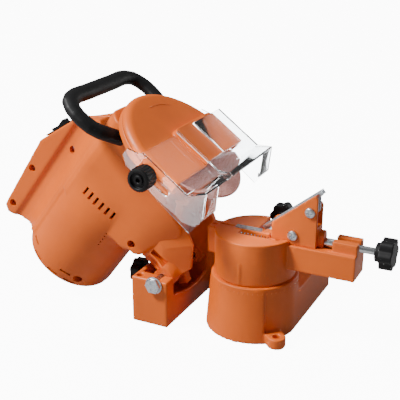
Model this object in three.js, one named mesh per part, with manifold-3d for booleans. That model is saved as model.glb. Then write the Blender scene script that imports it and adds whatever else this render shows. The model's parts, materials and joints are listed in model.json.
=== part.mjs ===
// Electric chainsaw sharpener: a bench base with a hinge bracket and a round tower, a motor head with
// grinding wheel, guard, clear shield and D handle, and a swivelling vise with its chain stop.
// Millimetres, +Z up. The origin is on the underside of the base, below the head's pivot axis and
// midway between the two ears that carry it. +X runs towards the vise, +Y away from the operator.

import * as THREE from 'three';
import { mergeVertices } from 'three/addons/utils/BufferGeometryUtils.js';
import Module from 'manifold-3d';

const wasm = await Module();
wasm.setup();

// General sizes

const clearance = 0.3; // gap between pieces that seat on each other
const overrun = 2; // how far a cutting shape runs past the face that it cuts
const weld = 0.001; // vertices nearer than this are one
const roundSides = 32;
const smallSides = 18;
const cornerSteps = 4;
const degree = Math.PI / 180;
const quarter = Math.PI / 2;

// Base moulding: hinge bracket, tower, rear beam and bench lugs

const bracketLeft = 30;
const bracketRight = 16;
const bracketFront = 62;
const frontWall = 18;
const bracketHeight = 57;
const bracketFloor = 5;
const leftWall = 6;
const sideSill = 5;
const sillHigh = 34;
const sillLow = 24;
const rearEarFront = 43;
const rearEarDepth = 26;
const earPocketRadius = 4;
const earPocketDepth = 10;
const earPocketInset = 7;
const towerOffset = 98;
const towerFootRadius = 56;
const towerHeadRadius = 51.3;
const towerWallHeight = 56;
const towerCoreRadius = 50;
const towerHeight = 65.5;
const towerWall = 5;
const towerTopPlate = 12;
const skinOpenFrom = -55;
const skinOpenTo = 70;
const beamHalfWidth = 50;
const beamFront = 0;
const beamBack = 127;
const beamHeight = 45;
const crossbarHeight = 25;
const hollowWall = 5;
const lugRadius = 10.5;
const lugHeight = 12;
const lugHoleRadius = 4.5;
const lugReach = 61.7;
const lugAngle = -43.3;
const rearLugOverhang = 6;
const rearLugAlongShare = 0.3;
const sideLugPlace = 50;

// Head pivot

const pivotHeight = 52;
const pivotBoltRadius = 5;
const pivotHeadRadius = 9.5;
const pivotHeadHeight = 7;
const pivotFlangeRadius = 10.5;
const pivotFlange = 1.5;
const pivotThreadSpare = 5;
const nutHeightShare = 0.8;
const washerThickness = 2;
const washerRadius = 10.5;
const headTilt = 53.3; // rest tilt of the wheel axis above level
const headDrop = 20; // how far the head swings down to the chain

// Depth stop screw in the bracket's left wall

const stopScrewRadius = 4;
const depthAxisHeight = 34;
const depthAxisPlace = -1.5;
const depthTipPlace = -4.5;
const depthKnobPlace = -54;
const depthKnobRadius = 16;
const depthKnobHead = 12;
const depthKnobHub = 7;
const depthKnobHubRadius = 9;
const depthCapRadius = 5.5;
const depthCapLength = 5;
const depthNutHeight = 6;
const depthNutAcross = 13;

// Head arm

const armNearFace = -43.4;
const armNearLeg = 20;
const armFarFace = 42.4;
const armFarLeg = 8.6;
const armBossRadius = 12;
const armBossHeight = 3;
const armBarrelRadius = 13.5;
const armSeat = 41.7; // height of the seat under the gear case, from the pivot axis
const armSeatPlate = 8;
const armReach = 100;
const armTailWidth = 12;
const armTailLength = 9;
const armTailThickness = 11;
const armPocketDepth = 9;
const armPocketWidth = 6.5;
const armPocketLength = 19;
const armPocketShare = 0.23;

// Motor housing, in the head's own frame: u along the wheel axis, y across, w away from the bench

const shellWall = 3;
const shellGap = 0.3;
const wheelAxis = 77.5;
const barrelRadius = 57.5;
const barrelEnd = -108;
const barrelCorner = 9;
const barrelBlend = 34; // length over which the barrel draws in to the gear case
const barrelBlendShares = [[0.2, 0.104], [0.4, 0.352], [0.6, 0.648], [0.8, 0.896], [1, 1]]; // share of the length, share of the drop
const caseStart = -8;
const caseEnd = 112.5;
const caseHalfWidth = 47;
const caseBottom = 42;
const caseTop = 166;
const caseCorner = 20;
const caseChamfer = 16;
const finHalfWidth = 14;
const finTop = 227;
const finFoot = 160;
const finLeft = -120.5;
const finRight = 84;
const finPeak = -2;
const finShoulderPlace = 52;
const finShoulderHeight = 206;
const finEndDrop = 15;
const finEndStep = 6;
const finRun = 10;
const finRim = 24; // depth of the thick rim along the fin's outer edge
const finRimStep = 5;
const finValleyHalf = 10.5;
const finValley = 4;
const finCoveShares = [[0.25, 0.08], [0.5, 0.27], [0.75, 0.58]]; // share of the drop, share of the spread
const finScrewInset = 17;
const ventCount = 6;
const ventPitch = 8.6;
const ventLength = 8;
const ventWidth = 2.8;
const ventPlace = 19;
const ventAxis = 111.5;
const capSlotWidth = 2.6;
const capSlotLength = 14.5;
const cornerSlotPlace = 8; // from the barrel's end to the slots in its rounded edge
const sideSlotPlace = 18;
const cornerSlotAngles = [71, 98, 122];
const sideSlotAngles = [55, 112];
const shellScrewRadius = 4.8;
const shellScrewSeat = 4.5;
const shellScrewHead = 3;
const shellScrewShank = 2;
const shellBossRadius = 7.5;

// Motor and gear train

const statorRadius = 40;
const statorBore = 23.5;
const statorLength = 38;
const statorPlace = -40;
const rotorRadius = 22.8;
const rotorShaftRadius = 4;
const commutatorRadius = 12;
const commutatorLength = 13;
const commutatorPlace = -72;
const brushWidth = 7;
const brushLength = 18;
const fanRadius = 40;
const fanPlace = 4;
const fanThickness = 3;
const fanBladeHeight = 9;
const fanBlades = 12;
const smallBearingRadius = 9.5;
const smallBearingWidth = 6;
const rearBearingPlace = -92;
const bulkheadPlace = 42;
const bulkheadThickness = 8;
const gearModule = 1.5;
const pinionTeeth = 10;
const gearTeeth = 41;
const gearWidth = 9;
const gearPlace = 68;
const toothHeightShare = 0.62;
const toothRootShare = 1.05;
const toothBacklash = 0.3;
const pressureAngle = 20;
const motorAxis = wheelAxis + ((pinionTeeth + gearTeeth) * gearModule) / 2;

// Spindle, wheel and flanges

const spindleRadius = 6;
const spindleBearingRadius = 14;
const spindleBearingWidth = 9;
const outerBearingPlace = 104;
const wheelRadius = 72.5;
const wheelBoreRadius = 11.1;
const wheelThickness = 3.2;
const wheelPlace = 124;
const flangeRadius = 22;
const flangeThickness = 3;
const wheelNutHeight = 5;
const wheelNutAcross = 17;

// Wheel guard and its cover

const guardBack = 115.8;
const guardFront = 132.5;
const guardRadius = 84.8;
const guardBottom = 46;
const guardWall = 3;
const guardCover = 2.6;
const guardCoverDepth = 8.9; // from the cover's face back to the joint with the housing
const guardEdgeShare = 0.9; // rounding of the cover's outer edge, of its depth
const guardNeckRadius = 27;
const guardNeckBore = 16;
const blockLeft = -15;
const blockRight = 75;
const blockTop = 100;
const blockRise = 7;
const coverScrewRadius = 3;

// Clear shield, in the head's own frame

const shieldWall = 2.2;
const shieldGap = 2;
const shieldTop = 95;
const shieldBend = 30;
const shieldLipReach = 153;
const shieldLipLow = 15;
const shieldFoot = 1;
const shieldFootPlace = 128;
const shieldRear = 103;
const shieldRearLow = 4;
const shieldStep = 7;
const shieldNotchFrom = -20;
const shieldNotchTo = 20;
const shieldNotchLow = 47;
const shieldApron = 27;
const shieldTravel = 28;
const shieldBoltRadius = 3;
const shieldBoltPlace = 119.8;
const shieldKnobRadius = 13.5;
const shieldKnobLength = 20;
const shieldKnobFaceRadius = 9;

// D handle

const handlePlace = 104;
const handleThick = 15.5;
const handleWide = 20.5;
const handleGripGap = 28.75; // finger room between the gear case and the grip
const handleGripHalf = 54;
const handleBulge = 74.5;
const handleShoulder = 184;
const handleHip = 170;
const handleWaist = 157.5;
const handleFootHeight = 134;
const handleElbowHeight = 143.5;
const handleCorner = 6.5;
const handleFootHalf = 57.5;
const handleSteps = 30;

// Switch and cord gland

const switchLength = 34;
const switchWidth = 18;
const switchDepth = 11;
const switchBezel = 2;
const rockerLength = 24;
const rockerWidth = 12;
const rockerHeight = 7;
const rockerTilt = 8;
const glandPlace = -83;
const glandHeight = 208;
const glandRadius = 7;
const glandBore = 3.6;
const glandLength = 16;

// Swivelling vise

const tableRadius = 46.4;
const tableFoot = 66;
const tableTop = 115.4;
const ledgeHeight = 90;
const tableBoltRadius = 5;
const tableBoltAcross = 17;
const chainGap = 1.6;
const jawPlateThickness = 2;
const jawPlateHeight = 14;
const jawPlateFrom = -24;
const jawPlateTo = 7;
const jawPlateProud = 1.5;
const jawTravel = 2.5;
const leftLugReach = 56;
const leftLugHalfWidth = 10;
const leftLugHeight = 34;
const armFront = 15.6;
const armBack = 19.1;
const armBottom = 81.7;
const armTop = 110.6;
const armEnd = 120.2;
const stopAxisHeight = 114.9;
const endBlockFrom = 92.5;
const endBlockHalf = 12.5;
const endBlockTop = 122.5;
const endGroove = 6.5;
const endGrooveDepth = 5;
const pointerWidth = 2;
const pointerHeight = 26;
const pointerProud = 1;
const clampAxisHeight = 105.5;
const clampScrewRadius = 3;
const clampKnobNear = 64;
const clampKnobHub = 6;
const clampKnobHead = 12;
const clampKnobRadius = 17;
const clampAxisPlace = 5;
const clampTipPlace = 3.5;
const jawEnd = 0;
const jawEarRadius = 7;
const jawEarFrom = 57;
const jawEarTo = 63.7;
const jawRibHeight = 9;
const jawRibFrom = -20;
const jawRibStart = 36;
const guideFrom = -30;
const guideTo = -22;
const guideWidth = 5;
const guideShare = 0.7;

// Chain stop carriage, its screw, spring and pawl

const carriageFrom = 23;
const carriageTo = 74.6;
const cheekNear = -12;
const cheekFar = 15.5;
const cheekThickness = 4;
const cheekEarRadius = 6.5;
const cheekLow = 133;
const cheekHigh = 171;
const cheekShoulder = 148;
const carriageFloor = 5;
const carriageEndWall = 6;
const carriageBossLength = 6;
const carriageBack = 4;
const carriageAhead = 6;
const bossHalf = 7;
const tongueLength = 5;
const tipRoomLength = 6;
const sleeveLength = 11;
const upperScrewInset = 8;
const upperScrewHeight = 151.6;
const lowerScrewPlace = 48;
const lowerScrewHeight = 121.8;
const cheekScrewHead = 6;
const cheekScrewHeadHeight = 3.4;
const cheekScrewShank = 2.5;
const pawlWidth = 9;
const pawlTipPlace = 9;
const pawlTipHeight = 122.5;
const pawlEndPlace = 74;
const pawlEndHeight = 175;
const pawlEyeRadius = 6;
const pawlSheet = 1.5;
const pawlDepth = 5.5;
const pawlEarHeight = 16;
const stopSleeveRadius = 5.2;
const starKnobPlace = 137.5;
const starHubLength = 5.5;
const starHubRadius = 10.5;
const starHeadLength = 14.5;
const starHeadRadius = 17.5;
const springWire = 1.2;
const springRadius = 5.2;
const springTurns = 9;
const springAxisPlace = -11;
const springAxisHeight = 108.5;
const springFrom = -15;
const springSteps = 8;
const springSides = 5;
const pitch = 1.25;

// Shape helpers

function weldShape(geometry) {
  const bare = geometry.index ? geometry.toNonIndexed() : geometry.clone();
  bare.deleteAttribute('normal');
  bare.deleteAttribute('uv');
  const merged = mergeVertices(bare, weld);
  const kept = [];
  const index = merged.index.array;
  for (let i = 0; i < index.length; i += 3) {
    const [a, b, c] = [index[i], index[i + 1], index[i + 2]];
    if (a !== b && b !== c && c !== a) kept.push(a, b, c);
  }
  merged.setIndex(kept);
  return faceOut(merged);
}

function faceOut(geometry) {
  const position = geometry.attributes.position;
  const index = geometry.index.array;
  const [a, b, c] = [new THREE.Vector3(), new THREE.Vector3(), new THREE.Vector3()];
  let volume = 0;
  for (let i = 0; i < index.length; i += 3) {
    a.fromBufferAttribute(position, index[i]);
    b.fromBufferAttribute(position, index[i + 1]);
    c.fromBufferAttribute(position, index[i + 2]);
    volume += a.dot(b.cross(c));
  }
  if (volume < 0) {
    for (let i = 0; i < index.length; i += 3) [index[i], index[i + 1]] = [index[i + 1], index[i]];
  }
  return geometry;
}

function toSolid(geometry) {
  const vertProperties = new Float32Array(geometry.attributes.position.array);
  const triVerts = new Uint32Array(geometry.index.array);
  return new wasm.Manifold(new wasm.Mesh({ numProp: 3, vertProperties, triVerts }));
}

function toGeometry(solid) {
  const mesh = solid.getMesh();
  const geometry = new THREE.BufferGeometry();
  geometry.setAttribute('position', new THREE.BufferAttribute(mesh.vertProperties, 3));
  geometry.setIndex(new THREE.BufferAttribute(mesh.triVerts, 1));
  return geometry;
}

function join(first, ...others) {
  return toGeometry(others.reduce((sum, shape) => sum.add(toSolid(shape)), toSolid(first)));
}

function cut(first, ...others) {
  return toGeometry(others.reduce((rest, shape) => rest.subtract(toSolid(shape)), toSolid(first)));
}

function common(first, second) {
  return toGeometry(toSolid(first).intersect(toSolid(second)));
}

function box(x0, x1, y0, y1, z0, z1) {
  const geometry = new THREE.BoxGeometry(x1 - x0, y1 - y0, z1 - z0);
  geometry.translate((x0 + x1) / 2, (y0 + y1) / 2, (z0 + z1) / 2);
  return weldShape(geometry);
}

function outline(points) {
  return new THREE.Shape(points.map(([a, b]) => new THREE.Vector2(a, b)));
}

function prismZ(points, from, to) {
  const geometry = new THREE.ExtrudeGeometry(outline(points), { depth: to - from, bevelEnabled: false });
  geometry.translate(0, 0, from);
  return weldShape(geometry);
}

// Outline in X and Z, drawn out along Y.
function prismY(points, from, to) {
  const geometry = new THREE.ExtrudeGeometry(outline(points), { depth: to - from, bevelEnabled: false });
  geometry.rotateX(quarter);
  geometry.translate(0, to, 0);
  return weldShape(geometry);
}

// Outline in Y and Z, drawn out along X.
function prismX(points, from, to) {
  const geometry = new THREE.ExtrudeGeometry(outline(points), { depth: to - from, bevelEnabled: false });
  const turn = new THREE.Matrix4().set(0, 0, 1, from, 1, 0, 0, 0, 0, 1, 0, 0, 0, 0, 0, 1);
  geometry.applyMatrix4(turn);
  return weldShape(geometry);
}

// A round bar along X, Y or Z, from one place to another, round the axis through the other two places.
function bar(axis, radius, from, to, a, b, sides = smallSides) {
  const geometry = new THREE.CylinderGeometry(radius, radius, to - from, sides);
  geometry.rotateY(Math.PI / sides);
  return placeRound(geometry, axis, (from + to) / 2, a, b);
}

function placeRound(geometry, axis, along, a, b) {
  if (axis === 'x') {
    geometry.rotateZ(-quarter);
    geometry.translate(along, a, b);
  } else if (axis === 'y') {
    geometry.translate(a, along, b);
  } else {
    geometry.rotateX(quarter);
    geometry.translate(a, b, along);
  }
  return weldShape(geometry);
}

// A turned shape: the profile lists radius and place along the axis.
function turned(axis, profile, a, b, sides = roundSides) {
  const points = profile.map(([radius, along]) => new THREE.Vector2(radius, along));
  const geometry = new THREE.LatheGeometry(points, sides);
  geometry.rotateY(Math.PI / sides);
  return placeRound(geometry, axis, 0, a, b);
}

function ring(axis, outer, inner, from, to, a, b, sides = roundSides) {
  const profile = [[inner, from], [outer, from], [outer, to], [inner, to], [inner, from]];
  return turned(axis, profile, a, b, sides);
}

function hexBar(axis, across, from, to, a, b) {
  return bar(axis, across / 2 / Math.cos(Math.PI / 6), from, to, a, b, 6);
}

function arc(a, b, radius, from, to, steps) {
  const points = [];
  for (let i = 0; i <= steps; i += 1) {
    const angle = (from + ((to - from) * i) / steps) * degree;
    points.push([a + radius * Math.cos(angle), b + radius * Math.sin(angle)]);
  }
  return points;
}

function roundedBox(a0, a1, b0, b1, radius) {
  return [
    ...arc(a1 - radius, b1 - radius, radius, 0, 90, cornerSteps),
    ...arc(a0 + radius, b1 - radius, radius, 90, 180, cornerSteps),
    ...arc(a0 + radius, b0 + radius, radius, 180, 270, cornerSteps),
    ...arc(a1 - radius, b0 + radius, radius, 270, 360, cornerSteps),
  ];
}

// A lobed knob outline: round lobes with hollows between them.
function lobedOutline(radius, lobes, depthShare) {
  const points = [];
  const steps = lobes * 8;
  for (let i = 0; i < steps; i += 1) {
    const angle = (i / steps) * 2 * Math.PI;
    const wave = Math.pow(Math.abs(Math.cos((angle * lobes) / 2)), 1.4);
    const reach = radius * (1 - depthShare + depthShare * wave);
    points.push([reach * Math.cos(angle), reach * Math.sin(angle)]);
  }
  return points;
}

function shift(geometry, x, y, z) {
  geometry.translate(x, y, z);
  return geometry;
}

// Materials

function finish(color, roughness, metalness) {
  return () => new THREE.MeshStandardMaterial({ color, roughness, metalness });
}

const orangePlastic = finish(0xd9773f, 0.45, 0);
const blackPlastic = finish(0x1b1b1d, 0.5, 0);
const blackRubber = finish(0x18181a, 0.85, 0);
const zincSteel = finish(0xc3c6c9, 0.35, 0.9);
const brightSteel = finish(0xd5d8da, 0.25, 1);
const motorSteel = finish(0x8a8d90, 0.5, 0.8);
const copperMetal = finish(0xb87346, 0.4, 0.9);
const brassMetal = finish(0xc4a35a, 0.4, 0.9);
const clearPlastic = finish(0xdfe6e8, 0.08, 0);
const abrasive = finish(0xc98f86, 0.95, 0);
const fanPlastic = finish(0x2c2f33, 0.6, 0);

const machine = new THREE.Group();
const head = new THREE.Group();
head.position.set(0, 0, pivotHeight);
head.rotation.y = -headTilt * degree;
machine.add(head);
const vise = new THREE.Group();
vise.position.set(towerOffset, 0, 0);
machine.add(vise);

function add(parent, name, geometry, material) {
  const mesh = new THREE.Mesh(geometry, material());
  mesh.name = name;
  parent.add(mesh);
}

// Base moulding

const bracketMiddle = (bracketRight - bracketLeft) / 2;
const earRadius = (bracketLeft + bracketRight) / 2;
const rearEarBack = rearEarFront + rearEarDepth;
const frontInner = -bracketFront + frontWall;

function sectorOutline(from, to, reach) {
  return [[0, 0], ...arc(0, 0, reach, from, to, cornerSteps * 2)];
}

function makeBracket() {
  const floor = box(-bracketLeft, bracketRight, -bracketFront, rearEarBack, 0, bracketFloor);
  const front = box(-bracketLeft, bracketRight, -bracketFront, frontInner, 0, bracketHeight);
  const left = box(-bracketLeft, -bracketLeft + leftWall, frontInner - clearance, rearEarFront + clearance, 0, bracketHeight);
  const earOutline = [
    [bracketRight, 0],
    ...arc(bracketMiddle, pivotHeight, earRadius, 0, 180, cornerSteps * 3),
    [-bracketLeft, 0],
  ];
  const ear = prismY(earOutline, rearEarFront, rearEarBack);
  const run = rearEarFront - frontInner;
  const dipShares = [[0, 1], [0.12, 0.82], [0.3, 0.35], [0.5, 0.05], [0.7, 0], [0.88, 0.22], [1, 0.6]];
  const sillTop = dipShares.map(([along, high]) => [frontInner + run * along, sillLow + (sillHigh - sillLow) * high]);
  const sillOutline = [[frontInner - clearance, 0], ...sillTop, [rearEarFront + clearance, 0]];
  sillOutline[1][0] -= clearance;
  sillOutline[sillOutline.length - 2][0] += clearance;
  const sill = prismX(sillOutline, bracketRight - sideSill, bracketRight);
  return join(floor, front, left, ear, sill);
}

function makeTower() {
  const foot = towerFootRadius;
  const skinProfile = [[0, 0], [foot, 0], [towerHeadRadius, towerWallHeight], [towerCoreRadius, towerHeight], [0, towerHeight]];
  const skin = turned('z', skinProfile, towerOffset, 0, roundSides * 2);
  const wedge = prismZ(sectorOutline(skinOpenFrom, skinOpenTo, foot * 2), -overrun, towerHeight + overrun);
  shift(wedge, towerOffset, 0, 0);
  const core = bar('z', towerCoreRadius, 0, towerHeight, towerOffset, 0, roundSides * 2);
  return join(cut(skin, wedge), core);
}

function makeBase() {
  const lugX = towerOffset + lugReach * Math.cos(lugAngle * degree);
  const lugY = lugReach * Math.sin(lugAngle * degree);
  const rearLugX = towerOffset + beamHalfWidth * rearLugAlongShare;
  const rearLugY = beamBack + rearLugOverhang;
  const sideLugX = -bracketLeft - rearLugOverhang;
  const lugWeb = box(towerCoreRadius - overrun, lugReach, -lugRadius, lugRadius, 0, lugHeight);
  lugWeb.rotateZ(lugAngle * degree);
  shift(lugWeb, towerOffset, 0, 0);
  const rearWeb = box(rearLugX - lugRadius, rearLugX + lugRadius, beamBack - overrun, rearLugY, 0, lugHeight);
  const sideWeb = box(sideLugX, -bracketLeft + overrun, sideLugPlace - lugRadius, sideLugPlace + lugRadius, 0, lugHeight);
  const beam = box(towerOffset - beamHalfWidth, towerOffset + beamHalfWidth, beamFront, beamBack, 0, beamHeight);
  const crossbar = box(-bracketLeft, towerOffset, rearEarBack - overrun, beamBack, 0, crossbarHeight);
  const lugs = [[lugX, lugY], [rearLugX, rearLugY], [sideLugX, sideLugPlace]];
  const lugBars = lugs.map(([x, y]) => bar('z', lugRadius, 0, lugHeight, x, y));
  const body = join(makeBracket(), makeTower(), beam, crossbar, lugWeb, rearWeb, sideWeb, ...lugBars);
  const lugHoles = lugs.map(([x, y]) => bar('z', lugHoleRadius, -overrun, lugHeight + overrun, x, y, smallSides));
  const towerHollow = bar('z', towerCoreRadius - towerWall, -overrun, towerHeight - towerTopPlate, towerOffset, 0, roundSides);
  const towerBore = bar('z', tableBoltRadius + clearance, 0, towerHeight + overrun, towerOffset, 0);
  const hollowFront = towerCoreRadius + hollowWall;
  const beamHollow = box(
    towerOffset - beamHalfWidth + hollowWall, towerOffset + beamHalfWidth - hollowWall,
    hollowFront, beamBack - hollowWall, -overrun, crossbarHeight - hollowWall,
  );
  const pivotBore = bar('y', pivotBoltRadius + clearance, -bracketFront - overrun, rearEarBack + overrun, 0, pivotHeight);
  const depthBore = bar('x', stopScrewRadius + clearance, -bracketLeft - overrun, overrun - bracketLeft + leftWall, depthAxisPlace, depthAxisHeight);
  const pocketX = -bracketLeft + earPocketInset;
  const pocketY = (frontInner - bracketFront) / 2;
  const pocket = bar('z', earPocketRadius, bracketHeight - earPocketDepth, bracketHeight + overrun, pocketX, pocketY);
  return cut(body, ...lugHoles, towerHollow, towerBore, beamHollow, pivotBore, depthBore, pocket);
}

add(machine, 'base', makeBase(), orangePlastic);

// Pivot bolt with domed flange head, rear washer and nut

function makePivotBolt() {
  const face = -bracketFront - clearance;
  const nutHeight = pivotBoltRadius * 2 * nutHeightShare;
  const end = rearEarBack + washerThickness + nutHeight + pivotThreadSpare;
  const flange = bar('y', pivotFlangeRadius, face - pivotFlange, face, 0, pivotHeight);
  const hex = bar('y', pivotHeadRadius, face - pivotHeadHeight * 0.75, face, 0, pivotHeight, 6);
  const domeProfile = [
    [0, face - pivotHeadHeight], [pivotHeadRadius * 0.45, face - pivotHeadHeight * 0.94],
    [pivotHeadRadius * 0.75, face - pivotHeadHeight * 0.75], [pivotHeadRadius * 0.75, face], [0, face],
  ];
  const dome = turned('y', domeProfile, 0, pivotHeight, smallSides);
  const shank = bar('y', pivotBoltRadius, face - clearance, end, 0, pivotHeight);
  return join(flange, hex, dome, shank);
}

const pivotWasherFrom = rearEarBack + clearance;
const pivotNutFrom = pivotWasherFrom + washerThickness + clearance;
add(machine, 'pivot_bolt', makePivotBolt(), zincSteel);
const pivotWasher = ring('y', washerRadius, pivotBoltRadius + clearance, pivotWasherFrom, pivotWasherFrom + washerThickness, 0, pivotHeight, smallSides);
add(machine, 'pivot_washer', pivotWasher, zincSteel);

function makeNut(axis, across, bore, from, height, a, b) {
  return cut(hexBar(axis, across, from, from + height, a, b), bar(axis, bore + clearance, from - overrun, from + height + overrun, a, b));
}

const pivotNutHeight = pivotBoltRadius * 2 * nutHeightShare;
add(machine, 'pivot_nut', makeNut('y', pivotHeadRadius * Math.sqrt(3), pivotBoltRadius, pivotNutFrom, pivotNutHeight, 0, pivotHeight), zincSteel);

// Depth stop: cap, screw, knob and the nut pressed on the bracket's left wall

function makeLobedKnob(axis, radius, headFrom, headTo, hubRadius, hubFrom, hubTo, bore, a, b, lobes) {
  const shape = lobedOutline(radius, lobes, 0.16);
  const plate = prismX(shape, headFrom, headTo);
  const hub = bar('x', hubRadius, hubFrom, hubTo, 0, 0);
  const knob = cut(join(plate, hub), bar('x', bore + clearance, Math.min(headFrom, hubFrom) + knobCrown, Math.max(headTo, hubTo) + overrun, 0, 0));
  if (axis === 'y') knob.rotateZ(-quarter);
  return axis === 'y' ? shift(knob, a, 0, b) : shift(knob, 0, a, b);
}

const knobCrown = 3;
const depthHeadFrom = depthKnobPlace - depthKnobHead / 2;
const depthHeadTo = depthKnobPlace + depthKnobHead / 2;
const depthCap = ring('x', depthCapRadius, stopScrewRadius * 0.6, depthTipPlace - depthCapLength, depthTipPlace, depthAxisPlace, depthAxisHeight, smallSides);
const depthCapSocket = bar('x', stopScrewRadius * 0.6 + clearance, depthTipPlace - depthCapLength - overrun, depthTipPlace - knobCrown / 2, depthAxisPlace, depthAxisHeight);
const depthCapSolid = bar('x', depthCapRadius, depthTipPlace - depthCapLength, depthTipPlace, depthAxisPlace, depthAxisHeight);
add(machine, 'depth_cap', cut(depthCapSolid, depthCapSocket), blackRubber);
depthCap.dispose();

function makeDepthScrew() {
  const end = depthTipPlace - depthCapLength - clearance;
  const thread = bar('x', stopScrewRadius, depthHeadFrom + knobCrown + clearance, end, depthAxisPlace, depthAxisHeight);
  const pin = bar('x', stopScrewRadius * 0.6, end - clearance, depthTipPlace - knobCrown / 2 - clearance, depthAxisPlace, depthAxisHeight);
  return join(thread, pin);
}

add(machine, 'depth_screw', makeDepthScrew(), zincSteel);
const depthKnob = makeLobedKnob('x', depthKnobRadius, depthHeadFrom, depthHeadTo, depthKnobHubRadius, depthHeadFrom, depthHeadTo + depthKnobHub, stopScrewRadius, depthAxisPlace, depthAxisHeight, 7);
add(machine, 'depth_knob', depthKnob, blackPlastic);
const depthNutFrom = -bracketLeft + leftWall + clearance;
add(machine, 'depth_nut', makeNut('x', depthNutAcross, stopScrewRadius, depthNutFrom, depthNutHeight, depthAxisPlace, depthAxisHeight), zincSteel);

// Head arm: two legs on the pivot, a seat under the gear case and the tail that meets the depth stop

function legOutline() {
  const barrel = arc(0, 0, armBarrelRadius, 190, 310, cornerSteps * 2);
  return [
    [armBarrelRadius * 0.15, armSeat], [armBarrelRadius * 0.66, armSeat * 0.8], [armBarrelRadius * 0.55, armSeat * 0.3],
    [-armBarrelRadius * 0.85, armBarrelRadius * 0.55], ...barrel, [armReach * 0.27, -armBarrelRadius * 1.25],
    [armReach * 0.52, -overrun / 2], [armReach * 0.7, armSeat * 0.68], [armReach * 0.73, armSeat - armSeatPlate], [armReach, armSeat - armSeatPlate],
    [armReach, armSeat],
  ];
}

function makeArm() {
  const near = prismY(legOutline(), armNearFace, armNearFace + armNearLeg);
  const far = prismY(legOutline(), armFarFace - armFarLeg, armFarFace);
  const seat = box(armBarrelRadius * 0.66, armReach, armNearFace, armFarFace, armSeat - armSeatPlate, armSeat);
  const boss = bar('y', armBossRadius, armFarFace - armFarLeg - armBossHeight, armFarFace, 0, 0);
  const sleeveEnd = depthAxisPlace + armTailWidth / 2;
  const sleeve = bar('y', armBarrelRadius * 0.85, armNearFace, sleeveEnd, 0, 0);
  const swing = (headTilt - headDrop) * degree;
  const drop = pivotHeight - depthAxisHeight;
  const tailFrom = depthTipPlace + clearance * 2;
  const tail = box(tailFrom, tailFrom + armTailThickness, sleeveEnd - armTailWidth, sleeveEnd, -drop - armTailLength / 2, 0);
  tail.rotateY(swing);
  const bore = bar('y', pivotBoltRadius + clearance, armNearFace - overrun, armFarFace + overrun, 0, 0);
  const pocketPlaces = [0.07, 0.16];
  const pockets = pocketPlaces.map((share) => box(
    armReach * share, armReach * share + armPocketWidth,
    armNearFace - overrun, armNearFace + armPocketDepth,
    armSeat * armPocketShare, armSeat * armPocketShare + armPocketLength,
  ));
  return cut(join(near, far, seat, boss, sleeve, tail), bore, ...pockets);
}

add(head, 'head_arm', makeArm(), orangePlastic);

// Motor housing: outer form, hollow, seats and the two half shells

const caseHollowHalf = caseHalfWidth - shellWall;
const finSlope = Math.atan2(finTop - finShoulderHeight, finShoulderPlace - finPeak);

function finOutline(inset) {
  return [
    [finLeft + inset, finTop - finEndDrop - inset], [finLeft + finEndStep + inset, finTop - finEndStep - inset],
    [finPeak, finTop - inset], [finShoulderPlace, finShoulderHeight - inset], [finRight - inset, caseTop + finRun - inset],
    [finRight - inset, finFoot], [barrelEnd + barrelCorner * 1.6 + inset, finFoot],
    [barrelEnd + barrelCorner * 1.2 + inset, caseTop + finRun * 0.3], [finLeft + finEndStep * 1.5 + inset, caseTop + finRun * 2.2],
  ];
}

function finSection(inset) {
  const half = finHalfWidth - inset;
  const spread = caseHollowHalf - inset;
  const rimFoot = finTop - finRim;
  const valley = finValleyHalf - inset;
  const valleyFoot = rimFoot - finRimStep - finValley;
  const [crestHalf, crest] = [spread * 0.8, caseTop - inset];
  const cove = finCoveShares.map(([down, out]) => [
    valley + (crestHalf - valley) * out, valleyFoot + (crest - valleyFoot) * down,
  ]);
  const side = [
    [half, finTop + overrun], [half, rimFoot], [valley, rimFoot - finRimStep], [valley, valleyFoot],
    ...cove, [crestHalf, crest], [spread * 0.9, finFoot - inset],
  ];
  return [...side, ...side.map(([y, w]) => [-y, w]).reverse()];
}

function barrelProfile(inset) {
  const corner = barrelCorner - inset;
  const radius = barrelRadius - inset;
  const start = barrelEnd + inset;
  const round = arc(radius - corner, start + corner, corner, 270, 360, cornerSteps);
  const end = caseStart + caseChamfer - inset;
  const drop = radius - (caseHalfWidth - clearance - inset);
  const blend = barrelBlendShares.map(([along, down]) => [radius - drop * down, end - barrelBlend * (1 - along)]);
  return [[0, start], ...round, [radius, end - barrelBlend], ...blend, [0, end]];
}

function caseBlock(inset) {
  const half = caseHalfWidth - inset;
  const section = roundedBox(-half, half, caseBottom + inset, caseTop - inset, caseCorner - inset);
  const block = prismX(section, caseStart + inset, caseEnd - inset);
  const corner = [
    [caseStart - overrun, caseBottom - overrun], [caseStart + caseChamfer + inset, caseBottom - overrun],
    [caseStart - overrun, caseBottom + caseChamfer + inset],
  ];
  return cut(block, prismY(corner, -caseHalfWidth - overrun, caseHalfWidth + overrun));
}

function shellForm(inset) {
  const barrel = turned('x', barrelProfile(inset), 0, motorAxis, roundSides * 2);
  const fin = common(prismX(finSection(inset), finLeft, finRight), prismY(finOutline(inset), -barrelRadius, barrelRadius));
  return join(barrel, caseBlock(inset), fin);
}

const shellScrewPlaces = [
  [finLeft + finScrewInset, finTop - finScrewInset * 0.85],
  [finPeak - finScrewInset * 2.32, finTop - finScrewInset * 0.65],
  [finPeak + finScrewInset * 1.35, caseTop + finRun * 2],
  [caseStart + caseChamfer * 0.9, caseBottom + caseChamfer * 0.69],
  [barrelEnd + shellBossRadius * 2.2, motorAxis - barrelRadius * 0.637],
];

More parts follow.
